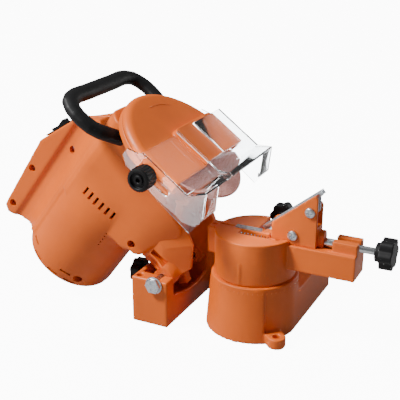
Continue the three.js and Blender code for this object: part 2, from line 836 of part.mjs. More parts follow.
function makeShellSeats() {
  const inner = barrelRadius - shellWall / 2;
  const statorEnd = statorLength / 2;
  const seats = [-statorEnd, statorEnd - shellWall].map((along) => ring(
    'x', inner, statorRadius + clearance, statorPlace + along, statorPlace + along + shellWall, 0, motorAxis, roundSides,
  ));
  const bulkheadSection = roundedBox(
    -caseHalfWidth + shellWall / 2, caseHalfWidth - shellWall / 2,
    caseBottom + shellWall / 2, caseTop - shellWall / 2, caseCorner,
  );
  const bulkhead = prismX(bulkheadSection, bulkheadPlace, bulkheadPlace + bulkheadThickness);
  const half = smallBearingWidth / 2;
  const rearFrom = rearBearingPlace - half;
  const rearTo = rearBearingPlace + half;
  const rearBoss = bar('x', smallBearingRadius + shellWall, rearFrom, rearTo, 0, motorAxis);
  const spoke = smallBearingRadius * 0.6;
  const rearSpokes = box(rearFrom, rearTo, -inner, inner, motorAxis - spoke, motorAxis + spoke);
  const frontFrom = outerBearingPlace - spindleBearingWidth / 2;
  const frontBoss = bar('x', spindleBearingRadius + shellWall, frontFrom, caseEnd - clearance, 0, wheelAxis);
  const brushBack = commutatorRadius + brushLength + clearance;
  const brushSeats = [-1, 1].map((side) => box(
    commutatorPlace - brushWidth, commutatorPlace + brushWidth,
    side < 0 ? -inner : brushBack, side < 0 ? -brushBack : inner,
    motorAxis - brushWidth, motorAxis + brushWidth,
  ));
  const bosses = shellScrewPlaces.map(([u, w]) => bar('y', shellBossRadius, -caseHalfWidth, caseHalfWidth, u, w));
  return join(...seats, bulkhead, rearBoss, rearSpokes, frontBoss, ...brushSeats, ...bosses);
}

function shellBores() {
  const bearing = (radius, place, width, axis) => bar(
    'x', radius + clearance, place - width / 2 - overrun, place + width / 2 + overrun, 0, axis, roundSides,
  );
  const bulkheadMiddle = bulkheadPlace + bulkheadThickness / 2;
  const frontWall = bar('x', spindleRadius + 2 * clearance, caseEnd - shellWall - overrun, caseEnd + overrun, 0, wheelAxis);
  const outerFrom = outerBearingPlace - spindleBearingWidth / 2 - overrun;
  const outer = bar('x', spindleBearingRadius + clearance, outerFrom, caseEnd - shellWall, 0, wheelAxis, roundSides);
  return [
    bearing(smallBearingRadius, rearBearingPlace, smallBearingWidth, motorAxis),
    bearing(smallBearingRadius, bulkheadMiddle, bulkheadThickness, motorAxis),
    bearing(spindleBearingRadius, bulkheadMiddle, bulkheadThickness, wheelAxis),
    outer, frontWall,
  ];
}

function shellScrewHoles() {
  const heads = shellScrewPlaces.map(([u, w]) => bar('y', shellScrewRadius, -caseHalfWidth - overrun, -shellScrewSeat, u, w));
  const shanks = shellScrewPlaces.map(([u, w]) => bar('y', shellScrewShank + clearance, -shellScrewSeat - overrun, shellScrewSeat + overrun, u, w));
  return [...heads, ...shanks];
}

function shellVents() {
  const slots = [];
  for (let i = 0; i < ventCount; i += 1) {
    const w = ventAxis + (i - (ventCount - 1) / 2) * ventPitch - ventWidth / 2;
    slots.push(box(ventPlace - ventLength / 2, ventPlace + ventLength / 2, -caseHalfWidth * 2, caseHalfWidth * 2, w, w + ventWidth));
  }
  const rings = [[cornerSlotPlace, cornerSlotAngles], [sideSlotPlace, sideSlotAngles]];
  for (const [place, angles] of rings) {
    for (const angle of angles.flatMap((turn) => [turn, -turn])) {
      const along = barrelEnd + place;
      const slot = box(
        along - capSlotWidth / 2, along + capSlotWidth / 2, -capSlotLength / 2, capSlotLength / 2,
        barrelRadius - shellWall * 2, barrelRadius + overrun,
      );
      slot.rotateX(angle * degree);
      slots.push(shift(slot, 0, 0, motorAxis));
    }
  }
  return slots;
}

// The switch stands in a pocket on the fin's sloping shoulder, in a frame of its own.
const switchPlace = new THREE.Matrix4()
  .makeTranslation((finPeak + finShoulderPlace) / 2, 0, (finTop + finShoulderHeight) / 2)
  .multiply(new THREE.Matrix4().makeRotationY(finSlope));

function switchPocket() {
  const pocket = box(
    -switchLength / 2 - clearance, switchLength / 2 + clearance,
    -switchWidth / 2 - clearance, switchWidth / 2 + clearance,
    -switchDepth - clearance, switchDepth,
  );
  return pocket.applyMatrix4(switchPlace);
}

function makeShells() {
  const form = shellForm(0);
  const hollow = cut(shellForm(shellWall), makeShellSeats());
  const glandHole = bar('y', glandRadius * 0.8 + clearance, 0, caseHalfWidth, glandPlace, glandHeight);
  const shell = cut(form, hollow, ...shellBores(), ...shellScrewHoles(), ...shellVents(), switchPocket());
  const far = caseHalfWidth * 2;
  const nearHalf = box(finLeft * 2, caseEnd * 2, -far, -shellGap / 2, 0, finTop * 2);
  const farHalf = box(finLeft * 2, caseEnd * 2, shellGap / 2, far, 0, finTop * 2);
  return [common(shell, nearHalf), cut(common(shell, farHalf), glandHole)];
}

const [frontShell, rearShell] = makeShells();
add(head, 'shell_front', frontShell, orangePlastic);
add(head, 'shell_rear', rearShell, orangePlastic);

function makeShellScrew(u, w) {
  const seat = -shellScrewSeat - clearance;
  const headDisc = bar('y', shellScrewRadius - clearance * 2, seat - shellScrewHead, seat, u, w);
  const shank = bar('y', shellScrewShank, seat - clearance, shellScrewSeat, u, w);
  return join(headDisc, shank);
}

shellScrewPlaces.forEach(([u, w], i) => add(head, `shell_screw_${i + 1}`, makeShellScrew(u, w), zincSteel));

// Motor inside the barrel: stator, rotor, commutator, brushes, fan and bearings

const stator = ring('x', statorRadius, statorBore, statorPlace - statorLength / 2 + clearance, statorPlace + statorLength / 2 - clearance, 0, motorAxis);
add(head, 'stator', stator, motorSteel);

function gearOutline(teeth, phase) {
  const pitchRadius = (gearModule * teeth) / 2;
  const baseRadius = pitchRadius * Math.cos(pressureAngle * degree);
  const involute = (radius) => {
    const angle = Math.acos(Math.min(1, baseRadius / radius));
    return Math.tan(angle) - angle;
  };
  const halfPitch = (Math.PI * gearModule) / 4 - toothBacklash / 2;
  const halfAt = (radius) => halfPitch / pitchRadius + involute(pitchRadius) - involute(radius);
  const tip = pitchRadius + gearModule * toothHeightShare;
  const root = pitchRadius - gearModule * toothRootShare;
  const radii = [root, pitchRadius, tip];
  const points = [];
  for (let i = 0; i < teeth; i += 1) {
    const middle = quarter + ((i + phase) * 2 * Math.PI) / teeth;
    radii.forEach((radius) => points.push([radius, middle - halfAt(radius)]));
    [...radii].reverse().forEach((radius) => points.push([radius, middle + halfAt(radius)]));
  }
  return points.map(([radius, angle]) => [radius * Math.cos(angle), radius * Math.sin(angle)]);
}

function makeGear(teeth, phase, width, axis) {
  return shift(prismX(gearOutline(teeth, phase), gearPlace - width / 2, gearPlace + width / 2), 0, 0, axis);
}

const rotorShaftFrom = rearBearingPlace - smallBearingWidth / 2;
const pinionWidth = gearWidth + overrun;
const rotorShaft = join(
  bar('x', rotorShaftRadius, rotorShaftFrom, gearPlace + pinionWidth / 2 + overrun, 0, motorAxis),
  makeGear(pinionTeeth, 0.5, pinionWidth, motorAxis),
);
add(head, 'rotor_shaft', rotorShaft, brightSteel);
const rotorBore = rotorShaftRadius + clearance;
const coreHalf = statorLength / 2 + overrun;
add(head, 'rotor_core', ring('x', rotorRadius, rotorBore, statorPlace - coreHalf, statorPlace + coreHalf, 0, motorAxis), motorSteel);
const commutatorHalf = commutatorLength / 2;
add(head, 'commutator', ring('x', commutatorRadius, rotorBore, commutatorPlace - commutatorHalf, commutatorPlace + commutatorHalf, 0, motorAxis, smallSides), copperMetal);

function makeFan() {
  const disc = bar('x', fanRadius, fanPlace, fanPlace + fanThickness, 0, motorAxis, roundSides);
  const hub = bar('x', rotorBore + shellWall, fanPlace - fanBladeHeight, fanPlace + fanThickness, 0, motorAxis);
  const blades = [];
  for (let i = 0; i < fanBlades; i += 1) {
    const blade = box(fanPlace - fanBladeHeight, fanPlace + fanThickness / 2, -shellWall / 4, shellWall / 4, fanRadius * 0.4, fanRadius * 0.95);
    blade.rotateX((i * 2 * Math.PI) / fanBlades);
    blades.push(shift(blade, 0, 0, motorAxis));
  }
  const bore = bar('x', rotorBore, fanPlace - fanBladeHeight - overrun, fanPlace + fanThickness + overrun, 0, motorAxis);
  return cut(join(disc, hub, ...blades), bore);
}

add(head, 'fan', makeFan(), fanPlastic);

function makeBearing(outer, bore, middle, width, axis) {
  return ring('x', outer, bore + clearance, middle - width / 2, middle + width / 2, 0, axis, smallSides);
}

const bulkheadMiddle = bulkheadPlace + bulkheadThickness / 2;
add(head, 'motor_bearing_rear', makeBearing(smallBearingRadius, rotorShaftRadius, rearBearingPlace, smallBearingWidth, motorAxis), brightSteel);
add(head, 'motor_bearing_front', makeBearing(smallBearingRadius, rotorShaftRadius, bulkheadMiddle, smallBearingWidth, motorAxis), brightSteel);
add(head, 'spindle_bearing_inner', makeBearing(spindleBearingRadius, spindleRadius, bulkheadMiddle, bulkheadThickness, wheelAxis), brightSteel);
add(head, 'spindle_bearing_outer', makeBearing(spindleBearingRadius, spindleRadius, outerBearingPlace, spindleBearingWidth, wheelAxis), brightSteel);

function makeBrush(side) {
  const from = commutatorRadius + clearance;
  const to = commutatorRadius + brushLength;
  const half = brushWidth / 2;
  const [y0, y1] = side < 0 ? [-to, -from] : [from, to];
  return box(commutatorPlace - half, commutatorPlace + half, y0, y1, motorAxis - half, motorAxis + half);
}

add(head, 'brush_front', makeBrush(-1), brassMetal);
add(head, 'brush_rear', makeBrush(1), brassMetal);

// Spindle with its gear, flanges, grinding wheel and nut

const flangeSeat = wheelPlace - wheelThickness / 2 - clearance;
const flangeFace = wheelPlace + wheelThickness / 2 + clearance;
const wheelNutFrom = flangeFace + flangeThickness + clearance;
const spindleEnd = wheelNutFrom + wheelNutHeight + 1;
add(head, 'spindle', bar('x', spindleRadius, bulkheadPlace, spindleEnd, 0, wheelAxis), brightSteel);
const gearBore = bar('x', spindleRadius + clearance, gearPlace - gearWidth, gearPlace + gearWidth, 0, wheelAxis);
add(head, 'spindle_gear', cut(makeGear(gearTeeth, 0, gearWidth, wheelAxis), gearBore), brightSteel);

function makeInnerFlange() {
  const bore = spindleRadius + clearance;
  const hub = spindleRadius * 1.5;
  const from = caseEnd + clearance;
  const pilot = wheelBoreRadius - clearance;
  const face = flangeSeat - flangeThickness;
  const profile = [
    [bore, from], [hub, from], [hub, face], [flangeRadius, face], [flangeRadius, flangeSeat],
    [pilot, flangeSeat], [pilot, flangeFace - clearance * 2], [bore, flangeFace - clearance * 2], [bore, from],
  ];
  return turned('x', profile, 0, wheelAxis, smallSides + 6);
}

add(head, 'flange_inner', makeInnerFlange(), zincSteel);
const outerFlange = ring('x', flangeRadius, spindleRadius + clearance, flangeFace, flangeFace + flangeThickness, 0, wheelAxis);
add(head, 'flange_outer', outerFlange, zincSteel);

function makeWheel() {
  const half = wheelThickness / 2;
  const edge = wheelRadius - half * 0.8;
  const profile = [
    [wheelBoreRadius, wheelPlace - half], [edge, wheelPlace - half], [wheelRadius, wheelPlace - half * 0.3],
    [wheelRadius, wheelPlace + half * 0.3], [edge, wheelPlace + half], [wheelBoreRadius, wheelPlace + half], [wheelBoreRadius, wheelPlace - half],
  ];
  return turned('x', profile, 0, wheelAxis, roundSides * 2);
}

add(head, 'grinding_wheel', makeWheel(), abrasive);
add(head, 'wheel_nut', makeNut('x', wheelNutAcross, spindleRadius, wheelNutFrom, wheelNutHeight, 0, wheelAxis), zincSteel);

// Guard housing and cover

function guardOutline(inset, bottom) {
  const radius = guardRadius - inset;
  return [...arc(0, wheelAxis, radius, 0, 180, roundSides), [-radius, bottom], [radius, bottom]];
}

const coverFrom = guardFront - guardCover;
const guardSplit = guardFront - guardCoverDepth;

function makeGuardHousing() {
  const pan = prismX(guardOutline(0, guardBottom), guardBack, guardSplit - clearance);
  const hollow = prismX(guardOutline(guardWall, guardBottom - overrun), guardBack + guardWall, guardFront);
  const neck = bar('x', guardNeckRadius, caseEnd + clearance, guardBack + clearance, 0, wheelAxis, roundSides);
  const bore = bar('x', guardNeckBore, caseEnd - overrun, guardBack + guardWall + overrun, 0, wheelAxis, roundSides);
  const holeRadius = shieldBoltRadius + clearance;
  const near = -guardRadius;
  const boltHole = bar('y', holeRadius, near - overrun, near + guardWall + overrun, shieldBoltPlace, wheelAxis);
  const farHole = bar('y', holeRadius, -near - guardWall - overrun, -near + overrun, shieldBoltPlace, wheelAxis);
  return cut(join(cut(pan, hollow), neck), bore, boltHole, farHole);
}

// A dish with a rounded outer edge: half a disc above the wheel's axis, straight sides below it
function guardDish(inset, back, low) {
  const radius = guardRadius - inset;
  const front = guardFront - inset;
  const edge = guardCoverDepth * guardEdgeShare - inset;
  const round = arc(radius - edge, front - edge, edge, 0, 90, cornerSteps);
  const disc = turned('x', [[0, back], [radius, back], ...round, [0, front]], 0, wheelAxis, roundSides * 2);
  const upper = box(back - overrun, front + overrun, -radius - overrun, radius + overrun, wheelAxis, wheelAxis + guardRadius * 2);
  const side = [[back, radius], ...round.map(([y, u]) => [u, y])];
  const section = [...side, ...side.map(([u, y]) => [u, -y]).reverse()];
  return join(common(disc, upper), prismZ(section, low, wheelAxis));
}

function makeGuardCover() {
  const dish = guardDish(0, guardSplit, guardBottom);
  const hollow = guardDish(guardCover, guardSplit - overrun, guardBottom - overrun);
  const rise = guardFront + blockRise;
  const block = prismX(roundedBox(blockLeft, blockRight, guardBottom, blockTop, blockRise), coverFrom, rise);
  const cavity = prismX(
    roundedBox(blockLeft + guardCover, blockRight - guardCover, guardBottom - overrun, blockTop - guardCover, blockRise - guardCover),
    guardSplit, rise - guardCover,
  );
  const square = box(coverFrom, rise, blockLeft, blockRight, guardBottom, guardBottom + blockRise);
  return cut(join(cut(dish, hollow), block, square), cavity);
}

add(head, 'guard_housing', makeGuardHousing(), orangePlastic);
add(head, 'guard_cover', makeGuardCover(), orangePlastic);

// Clear shield: side plates, stepped front panel, flared lip and two corner aprons

const shieldSide = guardRadius + shieldGap;
const shieldFace = guardFront + shieldGap;
const shieldFarFace = shieldFace + shieldStep;
const shieldOuter = shieldSide + shieldWall;

function band(from, to, thickness, y0, y1) {
  const along = new THREE.Vector2(to[0] - from[0], to[1] - from[1]).normalize();
  const [du, dw] = [-along.y * thickness, along.x * thickness];
  return prismY([from, to, [to[0] + du, to[1] + dw], [from[0] + du, from[1] + dw]], y0, y1);
}

function sidePlateOutline() {
  return [
    [shieldFace + shieldWall, shieldTop], [shieldFace + shieldWall, shieldBend], [shieldLipReach, shieldLipLow],
    [shieldFootPlace, shieldFoot], [shieldRear, shieldRearLow], [shieldRear + guardWall, wheelAxis - shieldKnobRadius],
    [shieldRear + shieldKnobRadius / 2, shieldTop + shieldStep], [shieldBoltPlace - guardWall, shieldTop + shieldStep * 2.4],
    [shieldBoltPlace + shieldStep, shieldTop + shieldStep * 2.4], [shieldFace - guardWall, shieldTop + shieldStep / 2],
  ];
}

function makeShield() {
  const nearPlate = prismY(sidePlateOutline(), -shieldOuter, -shieldSide);
  const farPlate = prismY(sidePlateOutline(), shieldSide, shieldOuter);
  const nearEnd = shieldNotchFrom + shieldWall;
  const nearPanel = box(shieldFace, shieldFace + shieldWall, -shieldOuter, nearEnd, shieldBend, shieldTop);
  const farPanel = box(shieldFarFace, shieldFarFace + shieldWall, shieldNotchFrom, shieldOuter, shieldBend, shieldTop);
  const farCorner = box(shieldFace, shieldFarFace + shieldWall, shieldSide, shieldOuter, shieldBend, shieldTop);
  const step = box(shieldFace, shieldFarFace + shieldWall, shieldNotchFrom, nearEnd, shieldBend, shieldNotchLow);
  const lip = [shieldLipReach, shieldLipLow];
  const nearFlare = band(lip, [shieldFace, shieldBend], -shieldWall, -shieldOuter, nearEnd);
  const farFlare = band(lip, [shieldFarFace, shieldBend], -shieldWall, shieldNotchFrom, shieldOuter);
  const stepFlare = prismY([[shieldFace, shieldBend], lip, [shieldFarFace + shieldWall, shieldBend + shieldWall]], shieldNotchFrom, nearEnd);
  const foot = [shieldFootPlace, shieldFoot];
  const nearApron = band(foot, lip, shieldWall, -shieldOuter, -shieldSide + shieldApron);
  const farApron = band(foot, lip, shieldWall, shieldSide - shieldApron, shieldOuter);
  const notch = box(shieldFace - overrun, shieldFarFace + shieldWall + overrun, nearEnd, shieldNotchTo, shieldNotchLow, shieldTop + overrun);
  const slotHalf = shieldBoltRadius + clearance * 1.5;
  const slotLow = wheelAxis - shieldTravel;
  const slots = [-1, 1].map((side) => {
    const [y0, y1] = side < 0 ? [-shieldOuter - overrun, -shieldSide + overrun] : [shieldSide - overrun, shieldOuter + overrun];
    const middle = box(shieldBoltPlace - slotHalf, shieldBoltPlace + slotHalf, y0, y1, slotLow, wheelAxis);
    return join(middle, bar('y', slotHalf, y0, y1, shieldBoltPlace, wheelAxis), bar('y', slotHalf, y0, y1, shieldBoltPlace, slotLow));
  });
  const body = join(nearPlate, farPlate, nearPanel, farPanel, farCorner, step, nearFlare, farFlare, stepFlare, nearApron, farApron);
  return cut(body, notch, ...slots);
}

add(head, 'shield', makeShield(), clearPlastic);

function makeShieldKnob() {
  const base = -shieldOuter - clearance;
  const face = base - shieldKnobLength;
  const bolt = bar('y', shieldBoltRadius, base - overrun, guardWall - guardRadius, shieldBoltPlace, wheelAxis);
  const profile = [
    [0, face + overrun], [shieldKnobFaceRadius, face + overrun], [shieldKnobFaceRadius, face],
    [shieldKnobRadius - overrun / 2, face], [shieldKnobRadius, face + overrun / 2], [shieldKnobRadius, base], [0, base],
  ];
  return join(turned('y', profile, shieldBoltPlace, wheelAxis, roundSides), bolt);
}

add(head, 'shield_knob', makeShieldKnob(), blackPlastic);

function makeShieldScrew() {
  const base = shieldOuter + clearance;
  const head = bar('y', shieldBoltRadius * 2, base, base + shieldBoltRadius, shieldBoltPlace, wheelAxis);
  return join(head, bar('y', shieldBoltRadius, guardRadius - guardWall, base + overrun, shieldBoltPlace, wheelAxis));
}

add(head, 'shield_screw', makeShieldScrew(), zincSteel);

// D handle: one oval tube whose feet stand on the two sides of the gear case

const handleGripHeight = caseTop + handleGripGap + handleWide / 2;

function makeHandle() {
  const half = [
    [caseHalfWidth + clearance, handleFootHeight], [handleFootHalf, handleElbowHeight],
    [handleBulge - handleCorner / 2, handleWaist], [handleBulge, handleHip], [handleBulge, handleShoulder],
    [handleBulge - handleCorner, handleGripHeight - handleCorner], [handleGripHalf, handleGripHeight],
    [handleGripHalf / 2, handleGripHeight],
  ];
  const route = [...half.map(([y, w]) => [-y, w]), [0, handleGripHeight], ...[...half].reverse()];
  const curve = new THREE.CatmullRomCurve3(route.map(([y, w]) => new THREE.Vector3(handlePlace, y, w)), false, 'centripetal');
  const section = new THREE.Shape();
  section.absellipse(0, 0, handleThick / 2, handleWide / 2, 0, 2 * Math.PI, false, 0);
  const tube = new THREE.ExtrudeGeometry(section, { steps: handleSteps, bevelEnabled: false, extrudePath: curve, curveSegments: 6 });
  const seat = box(
    handlePlace - handleThick, handlePlace + handleThick, -caseHalfWidth - clearance, caseHalfWidth + clearance,
    handleFootHeight - handleWide, handleFootHeight + handleWide,
  );
  return cut(weldShape(tube), seat);
}

add(head, 'handle', makeHandle(), blackPlastic);

// Rocker switch on the fin and cord gland on the far side

function makeSwitchBody() {
  const body = box(-switchLength / 2, switchLength / 2, -switchWidth / 2, switchWidth / 2, -switchDepth, clearance * 2);
  const bezel = box(
    -switchLength / 2 - switchBezel, switchLength / 2 + switchBezel,
    -switchWidth / 2 - switchBezel, switchWidth / 2 + switchBezel, clearance, switchBezel,
  );
  const well = box(-rockerLength / 2, rockerLength / 2, -rockerWidth / 2, rockerWidth / 2, -rockerHeight, switchBezel + overrun);
  return cut(join(body, bezel), well).applyMatrix4(switchPlace);
}

function makeRocker() {
  const end = rockerLength / 2 - clearance * 3;
  const shape = [
    [-end, rockerHeight * 0.8], [0, rockerHeight * 0.5], [end, rockerHeight * 0.8], [end, 0],
    [end / 2, -rockerHeight * 0.6], [-end / 2, -rockerHeight * 0.6], [-end, 0],
  ];
  const half = rockerWidth / 2 - clearance;
  const rocker = prismY(shape, -half, half);
  rocker.rotateY(-rockerTilt * degree);
  return shift(rocker, 0, 0, switchBezel / 2).applyMatrix4(switchPlace);
}

add(head, 'switch_body', makeSwitchBody(), blackPlastic);
add(head, 'switch_rocker', makeRocker(), blackPlastic);

function makeGland() {
  const face = finHalfWidth + clearance;
  const neck = glandRadius * 0.8;
  const profile = [
    [glandBore, finHalfWidth - shellWall], [neck, finHalfWidth - shellWall], [neck, face], [glandRadius, face],
    [glandRadius, face + overrun], [neck, face + overrun * 1.5], [neck * 0.85, face + glandLength],
    [glandBore, face + glandLength], [glandBore, finHalfWidth - shellWall],
  ];
  return turned('y', profile, glandPlace, glandHeight, smallSides);
}

add(head, 'cord_gland', makeGland(), blackRubber);

// Vise table with its arm, end block and near half of the chain slot

const tableSeat = towerHeight + clearance;
const slotHalf = chainGap / 2;
const armMiddle = (armBack - armFront) / 2;
const carriageClear = carriageFrom - carriageBack - clearance;
const springPocketHalf = springRadius + springWire;
const jawRadius = tableRadius - 1;

function makeTable() {
  const foot = bar('z', tableRadius, tableSeat, ledgeHeight, 0, 0, roundSides * 2);
  const nearHalf = common(
    bar('z', tableRadius, ledgeHeight - clearance, tableTop, 0, 0, roundSides * 2),
    box(-tableRadius * 2, tableRadius * 2, -tableRadius * 2, -slotHalf, tableFoot, tableTop),
  );
  const lug = box(-leftLugReach, -tableRadius * 0.7, -leftLugHalfWidth, -slotHalf, tableTop - leftLugHeight, tableTop - overrun);
  const arm = box(jawEnd + clearance, armEnd, -armFront, armBack, armBottom, armTop);
  const endBlock = box(endBlockFrom, armEnd, armMiddle - endBlockHalf, armMiddle + endBlockHalf, armTop - clearance, endBlockTop);
  const pointer = box(-pointerWidth / 2, pointerWidth / 2, -tableRadius - pointerProud, -tableRadius + overrun, tableSeat + 1, tableSeat + 1 + pointerHeight);
  const body = join(foot, nearHalf, lug, arm, endBlock, pointer);
  const jawSpace = [0, jawTravel + clearance].map((y) => bar('z', jawRadius + clearance * 2, ledgeHeight, endBlockTop, 0, y, roundSides * 2));
  const jawSide = box(-armEnd, jawEnd + clearance, -slotHalf, armEnd, ledgeHeight, endBlockTop);
  const groove = box(endBlockFrom - overrun, armEnd + overrun, armMiddle - endGroove / 2, armMiddle + endGroove / 2, endBlockTop - endGrooveDepth, endBlockTop + overrun);
  const screwBore = bar('x', stopScrewRadius + clearance, endBlockFrom - overrun, armEnd + overrun, armMiddle, stopAxisHeight);
  const sleeveBore = bar('x', stopSleeveRadius + clearance, endBlockFrom - overrun, endBlockFrom + carriageAhead + overrun, armMiddle, stopAxisHeight);
  const sleeveFloor = box(
    carriageTo + carriageBossLength - carriageBack, endBlockFrom + carriageAhead + overrun,
    armMiddle - stopSleeveRadius - clearance, armMiddle + stopSleeveRadius + clearance,
    stopAxisHeight - stopSleeveRadius - clearance, stopAxisHeight,
  );
  const carriageRoom = box(carriageClear, endBlockFrom, cheekNear - clearance, tableRadius, armTop, endBlockTop);
  const springPocket = box(
    springFrom, carriageFrom + tongueLength + carriageAhead + clearance,
    springAxisPlace - springPocketHalf, springAxisPlace + springPocketHalf,
    springAxisHeight - springPocketHalf, tableTop + overrun,
  );
  const plateRoom = box(
    jawPlateFrom - clearance, jawPlateTo + clearance, -slotHalf - jawPlateThickness - clearance, 0,
    tableTop + jawPlateProud - jawPlateHeight - clearance, tableTop + overrun,
  );
  const farPlateRoom = box(
    jawEnd - overrun, jawPlateTo + clearance, -slotHalf, slotHalf + jawPlateThickness + jawTravel + clearance,
    tableTop + jawPlateProud - jawPlateHeight - clearance, tableTop,
  );
  const boltBore = bar('z', tableBoltRadius + clearance, tableFoot - overrun, ledgeHeight - tableBoltRadius, 0, 0);
  const clampBore = bar('y', clampScrewRadius + clearance, clampTipPlace - clearance * 2, armBack + overrun, clampAxisPlace, clampAxisHeight);
  const guideGroove = box(guideFrom - clearance, guideTo + clearance, slotHalf + guideWidth, jawRadius, ledgeHeight - guideWidth - clearance, ledgeHeight + overrun);
  return cut(
    body, ...jawSpace.map((space) => common(space, jawSide)), groove, screwBore, sleeveBore, sleeveFloor,
    carriageRoom, springPocket, plateRoom, farPlateRoom, boltBore, clampBore, guideGroove,
  );
}

add(vise, 'vise_table', makeTable(), orangePlastic);

function makeJaw() {
  const disc = bar('z', jawRadius, ledgeHeight + clearance, tableTop, 0, 0, roundSides * 2);
  const farSide = box(-armEnd, armEnd, slotHalf, armEnd, ledgeHeight, tableTop);
  const lug = box(-leftLugReach, -tableRadius * 0.7, slotHalf, leftLugHalfWidth + overrun, ledgeHeight + clearance, tableTop - overrun);
  const carriageSide = box(jawEnd, armEnd, 0, armEnd, ledgeHeight, endBlockTop);
  const plateRoom = box(
    jawPlateFrom - clearance, jawPlateTo + overrun, 0, slotHalf + jawPlateThickness + clearance,
    tableTop + jawPlateProud - jawPlateHeight - clearance, tableTop + overrun,
  );
  const ribTop = ledgeHeight + clearance + jawRibHeight;
  const rib = box(jawRibFrom, clampAxisPlace + jawEarRadius, armBack + overrun + jawRibHeight, jawEarTo, ledgeHeight + clearance, ribTop);
  const web = box(
    clampAxisPlace - jawEarRadius, clampAxisPlace + jawEarRadius, jawEarFrom, jawEarTo,
    ledgeHeight + clearance, clampAxisHeight,
  );
  const ear = bar('y', jawEarRadius, jawEarFrom, jawEarTo, clampAxisPlace, clampAxisHeight);
  const bore = bar('y', clampScrewRadius + clearance, jawEarFrom - overrun, jawEarTo + overrun, clampAxisPlace, clampAxisHeight);
  const guide = box(guideFrom, guideTo, slotHalf + guideWidth + clearance, jawRadius * guideShare, ledgeHeight - guideWidth, ledgeHeight + guideWidth);
  return cut(join(cut(join(common(disc, farSide), lug, guide), carriageSide, plateRoom), rib, web, ear), bore);
}

add(vise, 'vise_jaw', makeJaw(), orangePlastic);
const plateLow = tableTop + jawPlateProud - jawPlateHeight;
const plateHoles = [-1, 1].map((side) => side * (slotHalf + jawPlateThickness / 2));

function makeJawPlate(y) {
  const half = jawPlateThickness / 2;
  return box(jawPlateFrom, jawPlateTo, y - half, y + half, plateLow, tableTop + jawPlateProud);
}

add(vise, 'jaw_plate_near', makeJawPlate(plateHoles[0]), zincSteel);
add(vise, 'jaw_plate_far', makeJawPlate(plateHoles[1]), zincSteel);

// Clamp screw and its knob behind the far jaw

const clampHeadTo = clampKnobNear + clampKnobHub + clampKnobHead;
const clampScrew = bar('y', clampScrewRadius, clampTipPlace, clampHeadTo - knobCrown - clearance, clampAxisPlace, clampAxisHeight);
add(vise, 'clamp_screw', clampScrew, zincSteel);

function makeClampKnob() {
  const shape = lobedOutline(clampKnobRadius, 7, 0.16);
  const plate = prismX(shape, clampHeadTo - clampKnobHead, clampHeadTo);
  const hub = bar('x', clampScrewRadius * 2, clampKnobNear, clampHeadTo - clampKnobHead / 2, 0, 0);
  const bore = bar('x', clampScrewRadius + clearance, 0, clampHeadTo - knobCrown, 0, 0);
  const knob = cut(join(plate, hub), bore);
  knob.rotateZ(quarter);
  return shift(knob, clampAxisPlace, 0, clampAxisHeight);
}

add(vise, 'clamp_knob', makeClampKnob(), blackPlastic);

// Bolt and washer that hold the table down on the tower

const towerPlateLow = towerHeight - towerTopPlate;
const tableWasherTo = towerPlateLow - clearance;
const tableBoltHead = tableWasherTo - washerThickness - clearance;
const tableBolt = join(
  hexBar('z', tableBoltAcross, tableBoltHead - tableBoltRadius * 1.3, tableBoltHead, 0, 0),
  bar('z', tableBoltRadius, tableBoltHead - clearance, ledgeHeight - tableBoltRadius - clearance, 0, 0),
);
add(vise, 'table_bolt', tableBolt, zincSteel);
add(vise, 'table_washer', ring('z', washerRadius, tableBoltRadius + clearance, tableWasherTo - washerThickness, tableWasherTo, 0, 0, smallSides), zincSteel);

// Chain stop carriage on the vise arm

const carriageSeat = armTop + clearance;

const cheekScrewPlaces = [[carriageTo - upperScrewInset, upperScrewHeight], [lowerScrewPlace, lowerScrewHeight]];

function cheekOutline() {
  return [
    [carriageFrom, carriageSeat], [carriageTo, carriageSeat], [carriageTo, cheekHigh - upperScrewInset / 2],
    [carriageTo - upperScrewInset / 4, cheekHigh], [carriageTo - upperScrewInset / 2, cheekHigh], [carriageFrom, cheekLow],
  ];
}

function farCheekOutline() {
  const [x, z] = cheekScrewPlaces[0];
  return [
    [carriageFrom, carriageSeat], [x + cheekEarRadius - clearance, carriageSeat], [x + cheekEarRadius - clearance, z - cheekEarRadius / 2],
    ...arc(x, z, cheekEarRadius, -15, 130, cornerSteps * 2), [carriageFrom, cheekLow],
  ];
}

